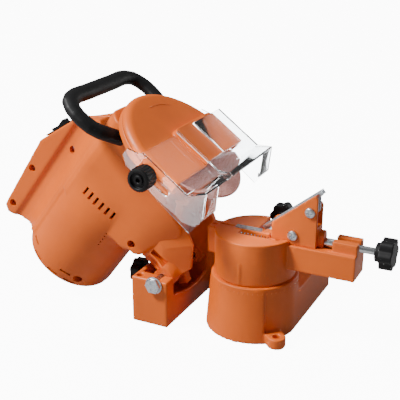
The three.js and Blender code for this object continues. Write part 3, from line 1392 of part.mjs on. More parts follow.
function makeCarriage() {
  const nearCheek = prismY(cheekOutline(), cheekNear, cheekNear + cheekThickness);
  const farCheek = prismY(farCheekOutline(), cheekFar - cheekThickness, cheekFar);
  const floor = box(carriageFrom, carriageTo, cheekNear, cheekFar, carriageSeat, carriageSeat + carriageFloor);
  const endWall = box(carriageTo - carriageEndWall, carriageTo, cheekNear, armMiddle + bossHalf, carriageSeat, cheekLow);
  const bossShape = [
    [armMiddle - bossHalf, carriageSeat], [armMiddle + bossHalf, carriageSeat],
    ...arc(armMiddle, stopAxisHeight + bossHalf, bossHalf, 0, 180, cornerSteps * 2),
  ];
  const boss = prismX(bossShape, carriageTo - overrun, carriageTo + carriageBossLength);
  const tongue = box(
    carriageFrom, carriageFrom + tongueLength,
    springAxisPlace - springPocketHalf + clearance, springAxisPlace + springPocketHalf - clearance,
    springAxisHeight - springPocketHalf + clearance, carriageSeat + overrun,
  );
  const bore = bar('x', stopScrewRadius + clearance, carriageTo - carriageEndWall - overrun, carriageTo + carriageBossLength + overrun, armMiddle, stopAxisHeight);
  const underBore = box(
    carriageTo - carriageEndWall - overrun, carriageTo + carriageBossLength + overrun,
    armMiddle - stopScrewRadius, armMiddle + stopScrewRadius, armTop, stopAxisHeight,
  );
  const tipRoom = box(
    carriageTo - carriageEndWall - tipRoomLength, carriageTo - carriageEndWall + clearance,
    armMiddle - bossHalf, armMiddle + bossHalf, armTop, carriageSeat + carriageFloor + overrun,
  );
  const holes = cheekScrewPlaces.map(([x, z]) => bar('y', cheekScrewShank + clearance, cheekNear - overrun, cheekFar + overrun, x, z));
  return cut(join(nearCheek, farCheek, floor, endWall, boss, tongue), bore, underBore, tipRoom, ...holes);
}

add(vise, 'stop_carriage', makeCarriage(), orangePlastic);

function makeCheekScrew([x, z]) {
  const face = cheekNear - clearance;
  const profile = [
    [0, face - cheekScrewHeadHeight], [cheekScrewHead * 0.6, face - cheekScrewHeadHeight * 0.9],
    [cheekScrewHead * 0.9, face - cheekScrewHeadHeight * 0.6], [cheekScrewHead, face - cheekScrewHeadHeight * 0.15],
    [cheekScrewHead, face], [0, face],
  ];
  const headForm = turned('y', profile, x, z, smallSides);
  const slotWide = cheekScrewHead * 0.12;
  const slotFrom = face - cheekScrewHeadHeight - overrun;
  const slotTo = face - cheekScrewHeadHeight * 0.4;
  const reach = cheekScrewHead * 0.55;
  const crossA = box(x - reach, x + reach, slotFrom, slotTo, z - slotWide, z + slotWide);
  const crossB = box(x - slotWide, x + slotWide, slotFrom, slotTo, z - reach, z + reach);
  return cut(join(headForm, bar('y', cheekScrewShank, face - clearance, cheekFar, x, z)), crossA, crossB);
}

add(vise, 'pawl_screw', makeCheekScrew(cheekScrewPlaces[0]), zincSteel);
add(vise, 'carriage_screw', makeCheekScrew(cheekScrewPlaces[1]), zincSteel);

// Stop pawl: a folded steel channel that hangs on the upper screw

function makePawl() {
  const along = new THREE.Vector2(pawlEndPlace - pawlTipPlace, pawlEndHeight - pawlTipHeight).normalize();
  const down = (point, depth) => [point[0] + along.y * depth, point[1] - along.x * depth];
  const tip = [pawlTipPlace, pawlTipHeight];
  const end = [pawlEndPlace, pawlEndHeight];
  const top = [tip, end, down(end, pawlSheet), down(tip, pawlSheet)];
  const half = pawlWidth / 2;
  const web = prismY(top, armMiddle - half, armMiddle + half);
  const [eyeX, eyeZ] = cheekScrewPlaces[0];
  const sides = [-1, 1].map((side) => {
    const [y0, y1] = side < 0 ? [armMiddle - half, armMiddle - half + pawlSheet] : [armMiddle + half - pawlSheet, armMiddle + half];
    const flange = prismY([tip, end, down(end, pawlDepth), down(tip, pawlDepth)], y0, y1);
    const eye = bar('y', pawlEyeRadius, y0, y1, eyeX, eyeZ);
    const ear = prismY([[eyeX - pawlEyeRadius, eyeZ], [eyeX + pawlEyeRadius, eyeZ], [eyeX + pawlEyeRadius, eyeZ + pawlEarHeight], [eyeX - pawlEyeRadius, eyeZ + pawlEarHeight * 0.6]], y0, y1);
    return join(flange, eye, ear);
  });
  const hole = bar('y', cheekScrewShank + clearance, cheekNear, cheekFar, eyeX, eyeZ);
  return cut(join(web, ...sides), hole);
}

add(vise, 'stop_pawl', makePawl(), zincSteel);

// Stop screw with its sleeve, star knob and the spring that holds the carriage against it

const sleeveFrom = carriageTo + carriageBossLength + clearance;
const stopScrewFrom = carriageTo - carriageEndWall - tipRoomLength / 2;
const starHeadFrom = starKnobPlace + starHubLength;
const starHeadTo = starHeadFrom + starHeadLength;
const stopScrew = join(
  bar('x', stopScrewRadius, stopScrewFrom, starHeadTo - knobCrown - clearance, armMiddle, stopAxisHeight),
  bar('x', stopSleeveRadius, sleeveFrom, sleeveFrom + sleeveLength, armMiddle, stopAxisHeight),
);
add(vise, 'stop_screw', stopScrew, brightSteel);

function makeStarKnob() {
  const plate = prismX(lobedOutline(starHeadRadius, 6, 0.2), starHeadFrom, starHeadTo);
  const hub = bar('x', starHubRadius, starKnobPlace, starHeadFrom + overrun, 0, 0);
  const bore = bar('x', stopScrewRadius + clearance, starKnobPlace - overrun, starHeadTo - knobCrown, 0, 0);
  return shift(cut(join(plate, hub), bore), 0, armMiddle, stopAxisHeight);
}

add(vise, 'stop_knob', makeStarKnob(), blackPlastic);

function makeSpring() {
  const from = springFrom + springWire / 2 + clearance;
  const to = carriageFrom - springWire / 2 - clearance;
  const steps = springTurns * springSteps;
  const rise = (to - from) / steps;
  const coil = (i) => {
    const angle = (i / springSteps) * 2 * Math.PI;
    return new THREE.Vector3(from + rise * i, springRadius * Math.cos(angle), springRadius * Math.sin(angle));
  };
  const positions = [];
  const index = [];
  for (let i = 0; i <= steps; i += 1) {
    const middle = coil(i);
    const ahead = coil(i + 0.5).sub(coil(i - 0.5)).normalize();
    const outward = new THREE.Vector3(0, middle.y, middle.z).normalize();
    const side = new THREE.Vector3().crossVectors(ahead, outward).normalize();
    for (let j = 0; j < springSides; j += 1) {
      const turn = (j / springSides) * 2 * Math.PI;
      const point = middle.clone();
      point.addScaledVector(outward, Math.cos(turn) * springWire / 2);
      point.addScaledVector(side, Math.sin(turn) * springWire / 2);
      positions.push(point.x, point.y, point.z);
    }
  }
  for (let i = 0; i < steps; i += 1) {
    for (let j = 0; j < springSides; j += 1) {
      const [a, b] = [i * springSides + j, i * springSides + ((j + 1) % springSides)];
      index.push(a, b, b + springSides, a, b + springSides, a + springSides);
    }
  }
  for (let j = 1; j < springSides - 1; j += 1) {
    const last = steps * springSides;
    index.push(0, j + 1, j, last, last + j, last + j + 1);
  }
  const geometry = new THREE.BufferGeometry();
  geometry.setAttribute('position', new THREE.BufferAttribute(new Float32Array(positions), 3));
  geometry.setIndex(index);
  console.log('least gap between the spring turns:', ((to - from) / springTurns - springWire).toFixed(2), 'mm');
  return shift(faceOut(geometry), 0, springAxisPlace, springAxisHeight);
}

add(vise, 'stop_spring', makeSpring(), brightSteel);

export default machine;
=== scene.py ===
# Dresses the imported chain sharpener: soft mouldings, fittings, finishes, studio light and camera.
import json
import math

import bmesh
import bpy
from mathutils import Matrix, Vector


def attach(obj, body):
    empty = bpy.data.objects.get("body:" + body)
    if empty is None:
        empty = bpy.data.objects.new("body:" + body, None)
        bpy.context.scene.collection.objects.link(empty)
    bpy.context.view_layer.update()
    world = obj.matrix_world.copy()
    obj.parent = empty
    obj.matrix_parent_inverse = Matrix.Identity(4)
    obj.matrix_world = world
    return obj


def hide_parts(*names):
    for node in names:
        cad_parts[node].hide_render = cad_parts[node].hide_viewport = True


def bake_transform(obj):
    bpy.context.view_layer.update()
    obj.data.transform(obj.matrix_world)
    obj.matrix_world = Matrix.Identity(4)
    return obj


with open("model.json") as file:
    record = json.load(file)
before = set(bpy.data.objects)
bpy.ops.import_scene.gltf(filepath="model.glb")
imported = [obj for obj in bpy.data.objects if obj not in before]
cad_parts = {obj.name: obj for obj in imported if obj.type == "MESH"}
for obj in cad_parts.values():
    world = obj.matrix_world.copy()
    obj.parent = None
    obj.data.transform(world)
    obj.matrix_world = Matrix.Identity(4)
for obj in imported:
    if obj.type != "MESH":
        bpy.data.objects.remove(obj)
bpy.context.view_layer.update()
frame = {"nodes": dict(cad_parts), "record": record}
bodyOfNode = {
    node: body for body, nodes in frame["record"]["behaviour"]["bodies"].items() for node in nodes}
slotOfNode = {part["node"]: part["material_slot"] for part in frame["record"]["subparts"]}
print("frame loaded:", len(frame["nodes"]), "CAD nodes")

mm = 0.001
headTilt = math.radians(53.3)
# from the head's own frame (u along the wheel axis, y, w square to both) to the row's frame
headPlace = Matrix.Translation((0, 0, 52 * mm)) @ Matrix.Rotation(-headTilt, 4, "Y")
upright = Matrix.Identity(4)
nearwards = Matrix.Rotation(math.radians(90), 4, "X")  # turns a round's own axis to the near side


def hexColour(code):
    parts = [int(code[i:i + 2], 16) / 255 for i in (1, 3, 5)]
    return (*[c / 12.92 if c <= 0.04045 else ((c + 0.055) / 1.055) ** 2.4 for c in parts], 1.0)


def addNode(tree, kind, settings=None, links=None, stops=()):
    node = tree.nodes.new(kind)
    for key, value in (settings or {}).items():
        if isinstance(key, str) and hasattr(node, key):
            setattr(node, key, value)
        else:
            node.inputs[key].default_value = value
    for key, source in (links or {}).items():
        tree.links.new(source, node.inputs[key])
    for i, (position, code) in enumerate(stops):  # a colour ramp's, from left to right
        marks = node.color_ramp.elements
        mark = marks[i] if i < len(marks) else marks.new(position)
        mark.position, mark.color = position, hexColour(code)
    return node


def startMaterial(name):
    material = bpy.data.materials.new(name)
    material.use_nodes = True
    tree = material.node_tree
    tree.nodes.clear()
    return material, tree, addNode(tree, "ShaderNodeTexCoord").outputs["Object"]


def finishMaterial(tree, skin, links):
    shader = addNode(tree, "ShaderNodeBsdfPrincipled", skin, links)
    addNode(tree, "ShaderNodeOutputMaterial", None, {"Surface": shader.outputs["BSDF"]})


def perMm(size):
    return 1 / (size * mm)  # the scale of a noise whose lumps are this many millimetres wide


orangeLook = {
    "skin": {"IOR": 1.54, "Specular IOR Level": 0.32}, "rough": (0.36, 0.5),
    "flowMm": 55, "flowDetail": 2.0, "tints": ((0.35, "#D66016"), (0.65, "#E06618")),
    "rubbed": "#EC833E", "rubbedFrom": 0.52, "rubbedTo": 0.62, "rubbedShare": 0.55,
    "grainMm": 1.1, "grainDetail": 3.0, "grainDepthMm": 0.03,
}


def mouldedOrangeAbs():
    # injection-moulded ABS with a fine spark-eroded texture: even, satin, paler where edges are
    # rubbed; the real texture is too fine to show, so it is drawn coarser
    look = orangeLook
    material, tree, place = startMaterial("orangeAbsMoulded")
    flow = addNode(tree, "ShaderNodeTexNoise",
                   {"Scale": perMm(look["flowMm"]), "Detail": look["flowDetail"]},
                   {"Vector": place})
    tint = addNode(tree, "ShaderNodeValToRGB", None, {"Fac": flow.outputs["Fac"]}, look["tints"])
    edge = addNode(tree, "ShaderNodeNewGeometry")
    worn = addNode(
        tree, "ShaderNodeMapRange",
        {"From Min": look["rubbedFrom"], "From Max": look["rubbedTo"],
         "To Max": look["rubbedShare"]},
        {"Value": edge.outputs["Pointiness"]})
    mixed = addNode(tree, "ShaderNodeMix", {"data_type": "RGBA", 7: hexColour(look["rubbed"])},
                    {0: worn.outputs["Result"], 6: tint.outputs["Color"]})
    low, high = look["rough"]
    rough = addNode(tree, "ShaderNodeMapRange", {"To Min": low, "To Max": high},
                    {"Value": flow.outputs["Fac"]})
    grain = addNode(tree, "ShaderNodeTexNoise",
                    {"Scale": perMm(look["grainMm"]), "Detail": look["grainDetail"]},
                    {"Vector": place})
    relief = addNode(tree, "ShaderNodeBump",
                     {"Strength": 1.0, "Distance": look["grainDepthMm"] * mm},
                     {"Height": grain.outputs["Fac"]})
    finishMaterial(tree, look["skin"], {
        "Base Color": mixed.outputs[2], "Roughness": rough.outputs["Result"],
        "Normal": relief.outputs["Normal"]})
    return material


cloudedLooks = {  # how wide a cloud is, its tints from dark to pale, its gloss, and the relief
    # glass-filled nylon, moulded: near black, a soft broad sheen, slightly dusty in random clouds
    "blackNylonMoulded": {
        "skin": {"IOR": 1.53, "Specular IOR Level": 0.22}, "cloudMm": 18, "detail": 3.0,
        "tints": ((0.4, "#0A0A0B"), (0.75, "#131314")), "rough": (0.42, 0.58),
        "grainMm": 0.9, "grainDetail": 2.0, "depthMm": 0.04},
    # moulded PVC rubber: matt, a little grey where it has been handled
    "blackRubberMoulded": {
        "skin": {"IOR": 1.52}, "cloudMm": 6, "detail": 4.0,
        "tints": ((0.35, "#0F0F0F"), (0.8, "#1E1E1F")), "rough": (0.7, 0.9), "depthMm": 0.05},
    # bright zinc plate on rolled or turned steel: pale, cool, cloudy in its gloss
    "zincPlateBright": {
        "skin": {"Metallic": 1.0}, "cloudMm": 2.2, "detail": 3.0,
        "tints": ((0.3, "#A9B2BC"), (0.7, "#DCE0E4")), "rough": (0.22, 0.38), "depthMm": 0.012},
    # ground bearing steel: even, and the glossiest metal here
    "bearingSteelGround": {
        "skin": {"Metallic": 1.0}, "cloudMm": 0.9, "detail": 3.0,
        "tints": ((0.3, "#B4B8BB"), (0.7, "#D8DADB")), "rough": (0.16, 0.3), "depthMm": 0.006},
    # stacked and varnished motor steel: dull and darker
    "motorSteelLaminated": {
        "skin": {"Metallic": 1.0}, "cloudMm": 1.6, "detail": 3.0,
        "tints": ((0.3, "#6D7073"), (0.7, "#9A9C9E")), "rough": (0.4, 0.6), "depthMm": 0.05},
    # turned copper, a little browned
    "copperTurned": {
        "skin": {"Metallic": 1.0}, "cloudMm": 1.5, "detail": 3.0,
        "tints": ((0.3, "#A7673B"), (0.7, "#C98552")), "rough": (0.25, 0.45), "depthMm": 0.02},
    # drawn brass strip, satin
    "brassDrawn": {
        "skin": {"Metallic": 1.0}, "cloudMm": 1.5, "detail": 3.0,
        "tints": ((0.3, "#AE8D48"), (0.7, "#D0B168")), "rough": (0.25, 0.4), "depthMm": 0.02},
    # the cooling fan: plain grey-black nylon straight from the mould, with no relief
    "greyNylonMoulded": {
        "skin": {"IOR": 1.53}, "cloudMm": 7, "detail": 2.0,
        "tints": ((0.3, "#26292C"), (0.8, "#373B3F")), "rough": (0.4, 0.55)},
}


def cloudedSkin(name):
    look = cloudedLooks[name]
    material, tree, place = startMaterial(name)
    cloud = addNode(tree, "ShaderNodeTexNoise",
                    {"Scale": perMm(look["cloudMm"]), "Detail": look["detail"]}, {"Vector": place})
    tint = addNode(tree, "ShaderNodeValToRGB", None, {"Fac": cloud.outputs["Fac"]}, look["tints"])
    low, high = look["rough"]
    rough = addNode(tree, "ShaderNodeMapRange", {"To Min": low, "To Max": high},
                    {"Value": cloud.outputs["Fac"]})
    links = {"Base Color": tint.outputs["Color"], "Roughness": rough.outputs["Result"]}
    if "depthMm" in look:
        grain = cloud
        if "grainMm" in look:
            grain = addNode(tree, "ShaderNodeTexNoise",
                            {"Scale": perMm(look["grainMm"]), "Detail": look["grainDetail"]},
                            {"Vector": place})
        relief = addNode(tree, "ShaderNodeBump",
                         {"Strength": 1.0, "Distance": look["depthMm"] * mm},
                         {"Height": grain.outputs["Fac"]})
        links["Normal"] = relief.outputs["Normal"]
    finishMaterial(tree, look["skin"], links)
    return material


shieldLook = {
    "tint": "#F6F9FB", "ior": 1.5, "rough": (0.015, 0.07), "scuffMm": 9, "scuffDetail": 5.0,
    "wavesMm": 26, "wavesDetail": 1.0, "waveDepthMm": 0.2,
}


def clearPolycarbonate():
    # injection-moulded clear polycarbonate: glossy glass-clear sheet, faintly wavy; it lets the
    # lamps' light through to the cover
    look = shieldLook
    material, tree, place = startMaterial("clearPolycarbonate")
    scuff = addNode(tree, "ShaderNodeTexNoise",
                    {"Scale": perMm(look["scuffMm"]), "Detail": look["scuffDetail"]},
                    {"Vector": place})
    low, high = look["rough"]
    rough = addNode(tree, "ShaderNodeMapRange", {"To Min": low, "To Max": high},
                    {"Value": scuff.outputs["Fac"]})
    path = addNode(tree, "ShaderNodeLightPath")
    solid = addNode(tree, "ShaderNodeMath", {"operation": "SUBTRACT", 0: 1.0},
                    {1: path.outputs["Is Shadow Ray"]})
    waves = addNode(tree, "ShaderNodeTexNoise",
                    {"Scale": perMm(look["wavesMm"]), "Detail": look["wavesDetail"]},
                    {"Vector": place})
    relief = addNode(tree, "ShaderNodeBump",
                     {"Strength": 1.0, "Distance": look["waveDepthMm"] * mm},
                     {"Height": waves.outputs["Fac"]})
    skin = {"Base Color": hexColour(look["tint"]), "IOR": look["ior"], "Transmission Weight": 1.0}
    finishMaterial(tree, skin, {
        "Roughness": rough.outputs["Result"], "Alpha": solid.outputs["Value"],
        "Normal": relief.outputs["Normal"]})
    return material


gritLook = {
    "skin": {"IOR": 1.6}, "gritMm": 1.1, "depthMm": 0.25, "rough": (0.8, 0.98),
    "tints": ((0.05, "#D9A79C"), (0.45, "#BC8177"), (0.8, "#92564C")),
}


def vitrifiedGrit():
    # a vitrified pink aluminium oxide wheel: open grit, matt, paler grains in a rust-brown bond
    look = gritLook
    material, tree, place = startMaterial("pinkOxideVitrified")
    grit = addNode(tree, "ShaderNodeTexVoronoi", {"Scale": perMm(look["gritMm"])},
                   {"Vector": place})
    tint = addNode(tree, "ShaderNodeValToRGB", None, {"Fac": grit.outputs["Distance"]},
                   look["tints"])
    low, high = look["rough"]
    rough = addNode(tree, "ShaderNodeMapRange", {"To Min": low, "To Max": high},
                    {"Value": grit.outputs["Distance"]})
    relief = addNode(tree, "ShaderNodeBump", {"Strength": 1.0, "Distance": look["depthMm"] * mm},
                     {"Height": grit.outputs["Distance"]})
    finishMaterial(tree, look["skin"], {
        "Base Color": tint.outputs["Color"], "Roughness": rough.outputs["Result"],
        "Normal": relief.outputs["Normal"]})
    return material


finishes = {
    "orange_plastic": mouldedOrangeAbs(),
    "black_plastic": cloudedSkin("blackNylonMoulded"),
    "black_rubber": cloudedSkin("blackRubberMoulded"),
    "zinc_steel": cloudedSkin("zincPlateBright"),
    "bright_steel": cloudedSkin("bearingSteelGround"),
    "motor_steel": cloudedSkin("motorSteelLaminated"),
    "copper": cloudedSkin("copperTurned"),
    "brass": cloudedSkin("brassDrawn"),
    "clear_plastic": clearPolycarbonate(),
    "abrasive": vitrifiedGrit(),
    "fan_plastic": cloudedSkin("greyNylonMoulded"),
}
for nodeName, node in frame["nodes"].items():
    node.data.materials.clear()
    node.data.materials.append(finishes[slotOfNode[nodeName]])
print("finishes made:", len(finishes))


def editable(mesh):
    work = bmesh.new()
    work.from_mesh(mesh)
    return work


def written(work, mesh):
    work.to_mesh(mesh)
    work.free()
    return mesh


mergeLook = {"gapMm": 0.002, "flatDegrees": 0.4}


def mergedCopy(nodeName):
    # the CAD node's loose triangles joined up, and those that lie in one plane made one face
    work = editable(frame["nodes"][nodeName].data)
    bmesh.ops.remove_doubles(work, verts=work.verts, dist=mergeLook["gapMm"] * mm)
    bmesh.ops.dissolve_limit(work, angle_limit=math.radians(mergeLook["flatDegrees"]),
                             verts=work.verts, edges=work.edges)
    mesh = written(work, bpy.data.meshes.new(nodeName + "_skin"))
    if "custom_normal" in mesh.attributes:
        mesh.attributes.remove(mesh.attributes["custom_normal"])
    return mesh


def newObject(name, data):
    holder = bpy.data.objects.new(name, data)
    bpy.context.scene.collection.objects.link(holder)
    return holder


def applied(piece):
    graph = bpy.context.evaluated_depsgraph_get()
    mesh = bpy.data.meshes.new_from_object(piece.evaluated_get(graph))
    piece.modifiers.clear()
    old, piece.data = piece.data, mesh
    bpy.data.meshes.remove(old)
    return piece


def smoothByAngle(mesh, degrees):
    mesh.shade_smooth()
    mesh.set_sharp_from_angle(angle=math.radians(degrees))


def settle(piece, nodeName, standsIn=True):
    # the piece takes its finish and its body from a CAD node, and stands in for it or sits on it
    slotName = slotOfNode[nodeName]
    piece.data.materials.clear()
    piece.data.materials.append(finishes[slotName])
    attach(piece, bodyOfNode[nodeName])
    if standsIn:
        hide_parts(nodeName)


# the slots, vents and screw seats that a mould leaves crisp, in the head's own frame and in mm:
# where each one is, how it is turned, and its size (a box) or its radius and length (a round)
headCuts = {
    "motorAxis": 115.75, "barrel": 57.5, "roundSteps": 28,
    "vents": 6, "ventPlace": 19, "ventAxis": 111.5, "ventPitch": 8.6, "ventWall": 47,
    "ventSize": (8, 2.8), "ventOpen": (10.6, 3.2), "ventReach": 40,
    "slotRings": ((-100, (71, 98, 122)), (-90, (55, 112))),
    "slotSize": (2.6, 14.5), "slotReach": 8, "slotSink": 2,
    "seats": ((-103.5, 212.55), (-41.44, 215.95), (20.95, 186), (6.4, 53.04), (-91.5, 79.12)),
    "seatRadius": 4.8, "seatFloor": 4.5, "seatTop": 60,
    "dots": 5, "dotFrom": -27, "dotTo": -7, "dotTurn": 124.5, "dotRadius": 1.0, "dotReach": 6,
}


def onBarrel(along, degrees, out):
    # so far along the barrel, turned about its axis from straight up, and so far out from it
    return (Matrix.Translation((along, 0, headCuts["motorAxis"]))
            @ Matrix.Rotation(math.radians(degrees), 4, "X") @ Matrix.Translation((0, 0, out)))


def ventCuts(side, size):
    length, width = size
    cuts = []
    for i in range(headCuts["vents"]):
        w = headCuts["ventAxis"] + (i - (headCuts["vents"] - 1) / 2) * headCuts["ventPitch"]
        place = Matrix.Translation((headCuts["ventPlace"], side * headCuts["ventWall"], w))
        cuts.append(("box", place, (length, headCuts["ventReach"], width)))
    return cuts


def slotCuts(side):
    size = (*headCuts["slotSize"], headCuts["slotReach"])
    return [("box", onBarrel(along, -turn * side, headCuts["barrel"] - headCuts["slotSink"]), size)
            for along, turns in headCuts["slotRings"] for turn in turns]


def seatCuts():
    # round recesses on the near side, from outside the shell down to their floor
    top, floor = headCuts["seatTop"], headCuts["seatFloor"]
    return [("round", Matrix.Translation((u, -(top + floor) / 2, w)) @ nearwards,
             (headCuts["seatRadius"], top - floor)) for u, w in headCuts["seats"]]


def dotCuts():
    cuts = []
    for i in range(headCuts["dots"]):
        shift = (headCuts["dotTo"] - headCuts["dotFrom"]) * i / (headCuts["dots"] - 1)
        place = onBarrel(headCuts["dotFrom"] + shift, headCuts["dotTurn"], headCuts["barrel"])
        cuts.append(("round", place, (headCuts["dotRadius"], headCuts["dotReach"])))
    return cuts


def isInside(point, cut, slack=0.03):
    # whether a corner of the mesh lies in a cut or on its walls
    kind, place, size = cut
    x, y, z = place.inverted() @ (point / mm)
    if kind == "box":
        return all(abs(v) <= s / 2 + slack for v, s in zip((x, y, z), size))
    return math.hypot(x, y) <= size[0] + slack and abs(z) <= size[1] / 2 + slack


def openRims(work):
    # each ring of open edges that is left where faces were taken out, in the mesh's own order
    left = dict.fromkeys(edge for edge in work.edges if edge.is_boundary)
    while left:
        rim, front = [], [left.popitem()[0]]
        while front:
            edge = front.pop()
            rim.append(edge)
            near = [other for vertex in edge.verts for other in vertex.link_edges if other in left]
            front += dict.fromkeys(near)
            for other in near:
                left.pop(other, None)
        yield rim


def fillOver(mesh, cuts):
    # closes the slots in the skin, so that the relaxing can't drag their edges about
    work = editable(mesh)
    for cut in cuts:
        walls = [face for face in work.faces
                 if all(isInside(vertex.co, cut) for vertex in face.verts)]
        bmesh.ops.delete(work, geom=walls, context="FACES")
    for rim in list(openRims(work)):
        bmesh.ops.triangle_fill(work, use_beauty=True, use_dissolve=False, edges=rim)
    bmesh.ops.recalc_face_normals(work, faces=work.faces)
    written(work, mesh)


def cutterMesh(cuts):
    work = bmesh.new()
    for kind, place, size in cuts:
        scaled = Matrix.Scale(mm, 4) @ place
        if kind == "box":
            bmesh.ops.create_cube(work, size=1, matrix=scaled @ Matrix.Diagonal((*size, 1)))
        else:
            radius, length = size
            bmesh.ops.create_cone(work, cap_ends=True, segments=headCuts["roundSteps"],
                                  radius1=radius, radius2=radius, depth=length, matrix=scaled)
    return written(work, bpy.data.meshes.new("cuts"))


def clamped(value):
    return max(0.0, min(1.0, value))


def eased(value):
    value = clamped(value)
    return value * value * (3 - 2 * value)


shoulder = {  # the flowing skin that carries the round barrel over into the boxy gear case, in mm
    "from": -24, "to": 52, "rings": 20, "steps": 40, "wall": 2.6, "barrel": 57.3, "axis": 115.75,
    "half": 46.8, "top": 165.8, "bottom": 42.2, "corner": 20, "turnFrom": 0.4, "turnSweep": 179.2,
}


def caseReach(turn):
    # how far the case's rounded outline lies from the motor's axis, at an angle from straight up
    look, tiny = shoulder, 1e-6
    across, up = math.sin(turn), math.cos(turn)
    high = look["top"] - look["axis"] if up > 0 else look["axis"] - look["bottom"]
    reach = min(look["half"] / max(abs(across), tiny), high / max(abs(up), tiny))
    y, w = reach * abs(across), reach * abs(up)
    inY, inW = look["half"] - look["corner"], high - look["corner"]
    if y > inY and w > inW:
        # the ray from the axis meets the corner's circle
        b = inY * abs(across) + inW * abs(up)
        c = inY ** 2 + inW ** 2 - look["corner"] ** 2
        reach = b + math.sqrt(max(b * b - c, 0))
    return reach


def shoulderRing(work, share, side, inset):
    look, blend = shoulder, eased(share)
    along = look["from"] + (look["to"] - look["from"]) * share
    ring = []
    for k in range(look["steps"] + 1):
        turn = math.radians(look["turnFrom"] + look["turnSweep"] * k / look["steps"])
        reach = look["barrel"] * (1 - blend) + caseReach(turn) * blend - inset
        y, w = side * reach * math.sin(turn), look["axis"] + reach * math.cos(turn)
        ring.append(work.verts.new(Vector((along, y, w)) * mm))
    return ring


def addShoulder(mesh, side):
    look = shoulder
    work = editable(mesh)
    outer, inner = [[shoulderRing(work, i / look["rings"], side, inset)
                     for i in range(look["rings"] + 1)] for inset in (0, look["wall"])]
    corners = []
    for i in range(look["rings"]):
        for k in range(look["steps"]):
            corners.append((outer[i][k], outer[i][k + 1], outer[i + 1][k + 1], outer[i + 1][k]))
            corners.append((inner[i][k], inner[i + 1][k], inner[i + 1][k + 1], inner[i][k + 1]))
        for k in (0, look["steps"]):
            corners.append((outer[i][k], outer[i + 1][k], inner[i + 1][k], inner[i][k]))
    for i in (0, look["rings"]):
        for k in range(look["steps"]):
            corners.append((outer[i][k], inner[i][k], inner[i][k + 1], outer[i][k + 1]))
    bmesh.ops.recalc_face_normals(work, faces=[work.faces.new(four) for four in corners])
    written(work, mesh)


neck = {  # how the near side swells down over the neck and draws in towards the guard, in mm
    "drawFrom": 36, "drawLength": 44, "drawDepth": 4.5,
    "dropFrom": 62, "dropLength": 46, "dropDepth": 14, "dropEdge": -2, "dropEase": 14,
    "shellFrom": -20, "shellFade": 20, "armFrom": -26, "armFade": 17,
    "skirt": ((-3, 60), (-2, 44), (2, 38), (6, 35), (15, 32), (24.6, 28.3), (32, 22.5),
              (38.5, 17.6), (50, 16.5), (58, 18), (64, 24), (69, 32), (74, 42), (80, 60)),
    "skirtSpan": (-46.8, -27),
    "backing": ((-4, 13), (14, 9), (14, 38), (-4, 38)), "backingSpan": (-34.5, -22),
    "filler": ((6, 8), (23, 9), (23, 34), (6, 34)), "fillerSpan": (-43.4, -33),
    "rim": ((27, -16.9), (52, -0.5), (70, 28.4)), "rimWidth": 32, "rimDepth": 13, "rimPower": 1.3,
    "legDepth": 3.5, "pivotFrom": 12, "pivotLength": 9,
    "pockets": ((5.4, 8.8), (15.6, 7.6)), "pocketMiddle": 19, "pocketLength": 22,
    "pocketFloor": -33, "pocketReach": 30,
}


def drawnIn(u, w):
    # how far the front shell's side is set back: towards the guard, and down over the neck
    along = clamped((u - neck["drawFrom"]) / neck["drawLength"])
    down = clamped((neck["dropFrom"] - w) / neck["dropLength"])
    drop = neck["dropDepth"] * down ** 2 * eased((u - neck["dropEdge"]) / neck["dropEase"])
    return neck["drawDepth"] * along ** 2 + drop


def fromRim(u, w):
    # how far a place lies inside the neck's outer edge
    near = []
    for (u0, w0), (u1, w1) in zip(neck["rim"], neck["rim"][1:]):
        across, up = u1 - u0, w1 - w0
        share = clamped(((u - u0) * across + (w - w0) * up) / (across ** 2 + up ** 2))
        near.append(math.hypot(u - u0 - share * across, w - w0 - share * up))
    return min(near)


def drawInShell(mesh):
    for vertex in mesh.vertices:
        u, y, w = vertex.co / mm
        if y < neck["shellFrom"] and u > neck["dropEdge"]:
            fade = min(1.0, (neck["shellFrom"] - y) / neck["shellFade"])
            vertex.co.y += drawnIn(u, w) * fade * mm


def drawInArm(mesh):
    for vertex in mesh.vertices:
        u, y, w = vertex.co / mm
        if y < neck["armFrom"]:
            rim = max(0.0, 1 - fromRim(u, w) / neck["rimWidth"])
            depth = neck["legDepth"] + neck["rimDepth"] * rim ** neck["rimPower"]
            depth *= eased((math.hypot(u, w) - neck["pivotFrom"]) / neck["pivotLength"])
            vertex.co.y += depth * min(1.0, (neck["armFrom"] - y) / neck["armFade"]) * mm


def pocketCuts():
    # the leg's two deep pockets, open to the near side
    y, length = neck["pocketFloor"] - neck["pocketReach"] / 2, neck["pocketLength"]
    return [("box", Matrix.Translation((u, y, neck["pocketMiddle"])),
             (wide, neck["pocketReach"], length)) for u, wide in neck["pockets"]]


def addSlab(mesh, outline, span):
    # a plain block between two values of y, which the relaxing melts into the piece around it
    work = editable(mesh)
    sides = [[work.verts.new(Vector((u, y, w)) * mm) for u, w in outline] for y in span]
    faces = [work.faces.new(sides[0]), work.faces.new(list(reversed(sides[1])))]
    for i in range(len(outline)):
        j = (i + 1) % len(outline)
        faces.append(work.faces.new((sides[0][j], sides[0][i], sides[1][i], sides[1][j])))
    bmesh.ops.recalc_face_normals(work, faces=faces)
    written(work, mesh)


mouldLook = {"relax": 0.5, "sharpDegrees": 52}


